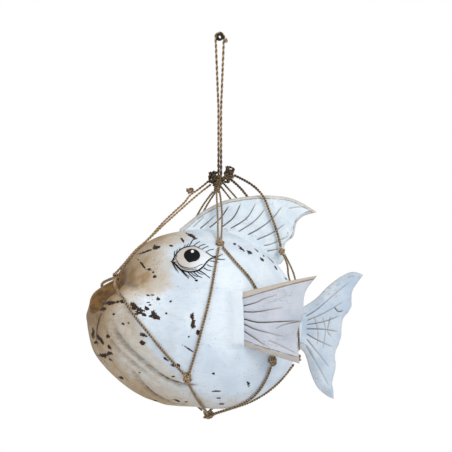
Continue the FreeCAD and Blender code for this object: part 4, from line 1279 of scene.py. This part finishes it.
def blob(name, outline, lift, dome, mat, sign, rings=6):
    """A patch filled inside that outline, `dome` higher in its middle."""
    edge = np.asarray(outline, float)
    n, mid = len(edge), np.mean(edge, axis=0)
    uv, lifts = [mid], [lift + dome]
    for k in range(1, rings + 1):
        t = k / rings
        uv += list(mid + (edge - mid) * t)
        lifts += [lift + dome * (1 - t ** 2)] * n
    faces = [(0, 1 + i, 1 + (i + 1) % n) for i in range(n)]
    for k in range(rings - 1):
        a, b = 1 + k * n, 1 + (k + 1) * n
        faces += [(a + i, b + i, b + (i + 1) % n, a + (i + 1) % n) for i in range(n)]
    ob = painted(name, uv, faces, [1 + (rings - 1) * n + i for i in range(n)], np.array(lifts), mat, sign)
    return ob, np.array(uv)


def stroke(name, pts, widths, lift, mat, sign):
    line = rounded(pts, 0.8)
    t = np.linspace(0, 1, len(line))
    w = np.interp(t, [0, 0.5, 1], widths) / 2 * (1 + 0.12 * np.sin(np.arange(len(line)) * 1.7))
    tan = np.gradient(line, axis=0)
    tan /= np.linalg.norm(tan, axis=1)[:, None]
    side = np.stack([-tan[:, 1], tan[:, 0]], -1) * w[:, None]
    n = len(line)
    faces = [(i, i + 1, n + i + 1, n + i) for i in range(n - 1)]
    border = list(range(n)) + list(range(2 * n - 1, n - 1, -1))
    return painted(name, np.vstack([line + side, line - side]), faces, border, lift, mat, sign)


def ring_points(at, rx, ry, n=40):
    t = np.linspace(0, 2 * np.pi, n, endpoint=False)
    return np.stack([at[0] + rx * np.cos(t), at[1] + ry * np.sin(t)], -1)


def paint_eye(who, sign):
    upper, lower = rounded(UPPER_LID, 1.6), rounded(LOWER_LID, 1.6)
    ball_ob, uv = blob(who + "_eye_white", np.vstack([upper, lower[::-1][:-1]]), 0.45, 1.4, EYE_WHITE,
                       sign, 8)
    # this sets the eye white's painted shade: 0 at its left, 1 to the right and below
    keep(ball_ob.data, "away", np.tile(np.clip((uv[:, 0] + 14) / 34 + (-uv[:, 1] - 8) / 60, 0, 1), 2))
    edge = ring_points((0, 0), 10.1, 7.9)
    edge[:, 1] -= 1.4 * np.exp(-((edge[:, 0] + 3.8) / 3.0) ** 2) * (edge[:, 1] < 0)
    blob(who + "_eye_pupil", edge, 1.75, 0.35, EYE_BLACK, sign, 5)
    blob(who + "_eye_glint", ring_points((0.5, 4.5), 1.9, 1.7, 18), 2.35, 0.1, EYE_GLINT, sign, 2)
    blob(who + "_eye_blot", ring_points((5.7, -30.3), 1.9, 1.2, 16), 0.5, 0.2, EYE_BLACK, sign, 2)
    for k, (pts, a, b, c) in enumerate(BLACK_STROKES):
        stroke("%s_lash_%02d" % (who, k), pts, (a, b, c), 0.75, EYE_BLACK, sign)
    for k, (pts, a, b, c) in enumerate(BROWN_STROKES):
        stroke("%s_lid_%d" % (who, k), pts, (a, b, c), 1.75, EYE_BROWN, sign)


for who, sign in (("left", -1), ("right", 1)):
    paint_eye(who, sign)

# --- dowels and eye ring -------------------------------------------------------------------------
for ob in list(bpy.data.objects):
    if "dowel" in ob.name:
        for s in ob.material_slots:
            s.material = BARE
    if ob.name.startswith("hanging_eye"):
        for s in ob.material_slots:
            s.material = METAL

# --- light and surroundings ----------------------------------------------------------------------
def lamp(name, at, size, power, colour=(1, 1, 1)):
    d = bpy.data.lights.new(name, "AREA")
    d.shape, d.size, d.energy, d.color = "DISK", size, power, colour
    ob = bpy.data.objects.new(name, d)
    bpy.context.collection.objects.link(ob)
    ob.location = at
    ob.rotation_euler = (Vector((0, 0, -0.32)) - Vector(at)).to_track_quat("-Z", "Y").to_euler()
    return ob


def white_stage():
    m = bpy.data.materials.new("stage white")
    m.use_nodes = True
    t = m.node_tree
    t.nodes.clear()
    out = t.nodes.new("ShaderNodeOutputMaterial")
    mix = t.nodes.new("ShaderNodeMixShader")
    dif = t.nodes.new("ShaderNodeBsdfDiffuse")
    dif.inputs[0].default_value = (0.85, 0.87, 0.9, 1)
    em = t.nodes.new("ShaderNodeEmission")
    em.inputs[0].default_value = (1, 1, 1, 1)
    ray = t.nodes.new("ShaderNodeLightPath")
    t.links.new(ray.outputs["Is Camera Ray"], mix.inputs[0])
    t.links.new(dif.outputs[0], mix.inputs[1])
    t.links.new(em.outputs[0], mix.inputs[2])
    t.links.new(mix.outputs[0], out.inputs[0])
    return m


FLOOR = -0.62       # metres
bm = bmesh.new()
bmesh.ops.create_grid(bm, x_segments=1, y_segments=1, size=3.0)
me = bpy.data.meshes.new("floor")
bm.to_mesh(me)
bm.free()
floor = bpy.data.objects.new("floor", me)
floor.location = (0, 0, FLOOR)
bpy.context.collection.objects.link(floor)
me.materials.append(white_stage())
world = bpy.data.worlds.new("world")
bpy.context.scene.world = world
world.use_nodes = True
wt = world.node_tree
bg = wt.nodes["Background"]
bg.inputs[0].default_value = (0.93, 0.96, 1.0, 1)
bg.inputs[1].default_value = 0.575
seen = wt.nodes.new("ShaderNodeBackground")
seen.inputs[0].default_value = (1, 1, 1, 1)
ray = wt.nodes.new("ShaderNodeLightPath")
mix = wt.nodes.new("ShaderNodeMixShader")
wt.links.new(ray.outputs["Is Camera Ray"], mix.inputs[0])
wt.links.new(bg.outputs[0], mix.inputs[1])
wt.links.new(seen.outputs[0], mix.inputs[2])
wt.links.new(mix.outputs[0], wt.nodes["World Output"].inputs[0])
lamp("key", (0.75, -1.2, 0.75), 0.9, 14.8, (1.0, 0.99, 0.97))
lamp("fill", (-1.3, -1.1, 0.1), 1.2, 5.0, (0.95, 0.97, 1.0))
bpy.context.scene.view_settings.view_transform = "Standard"
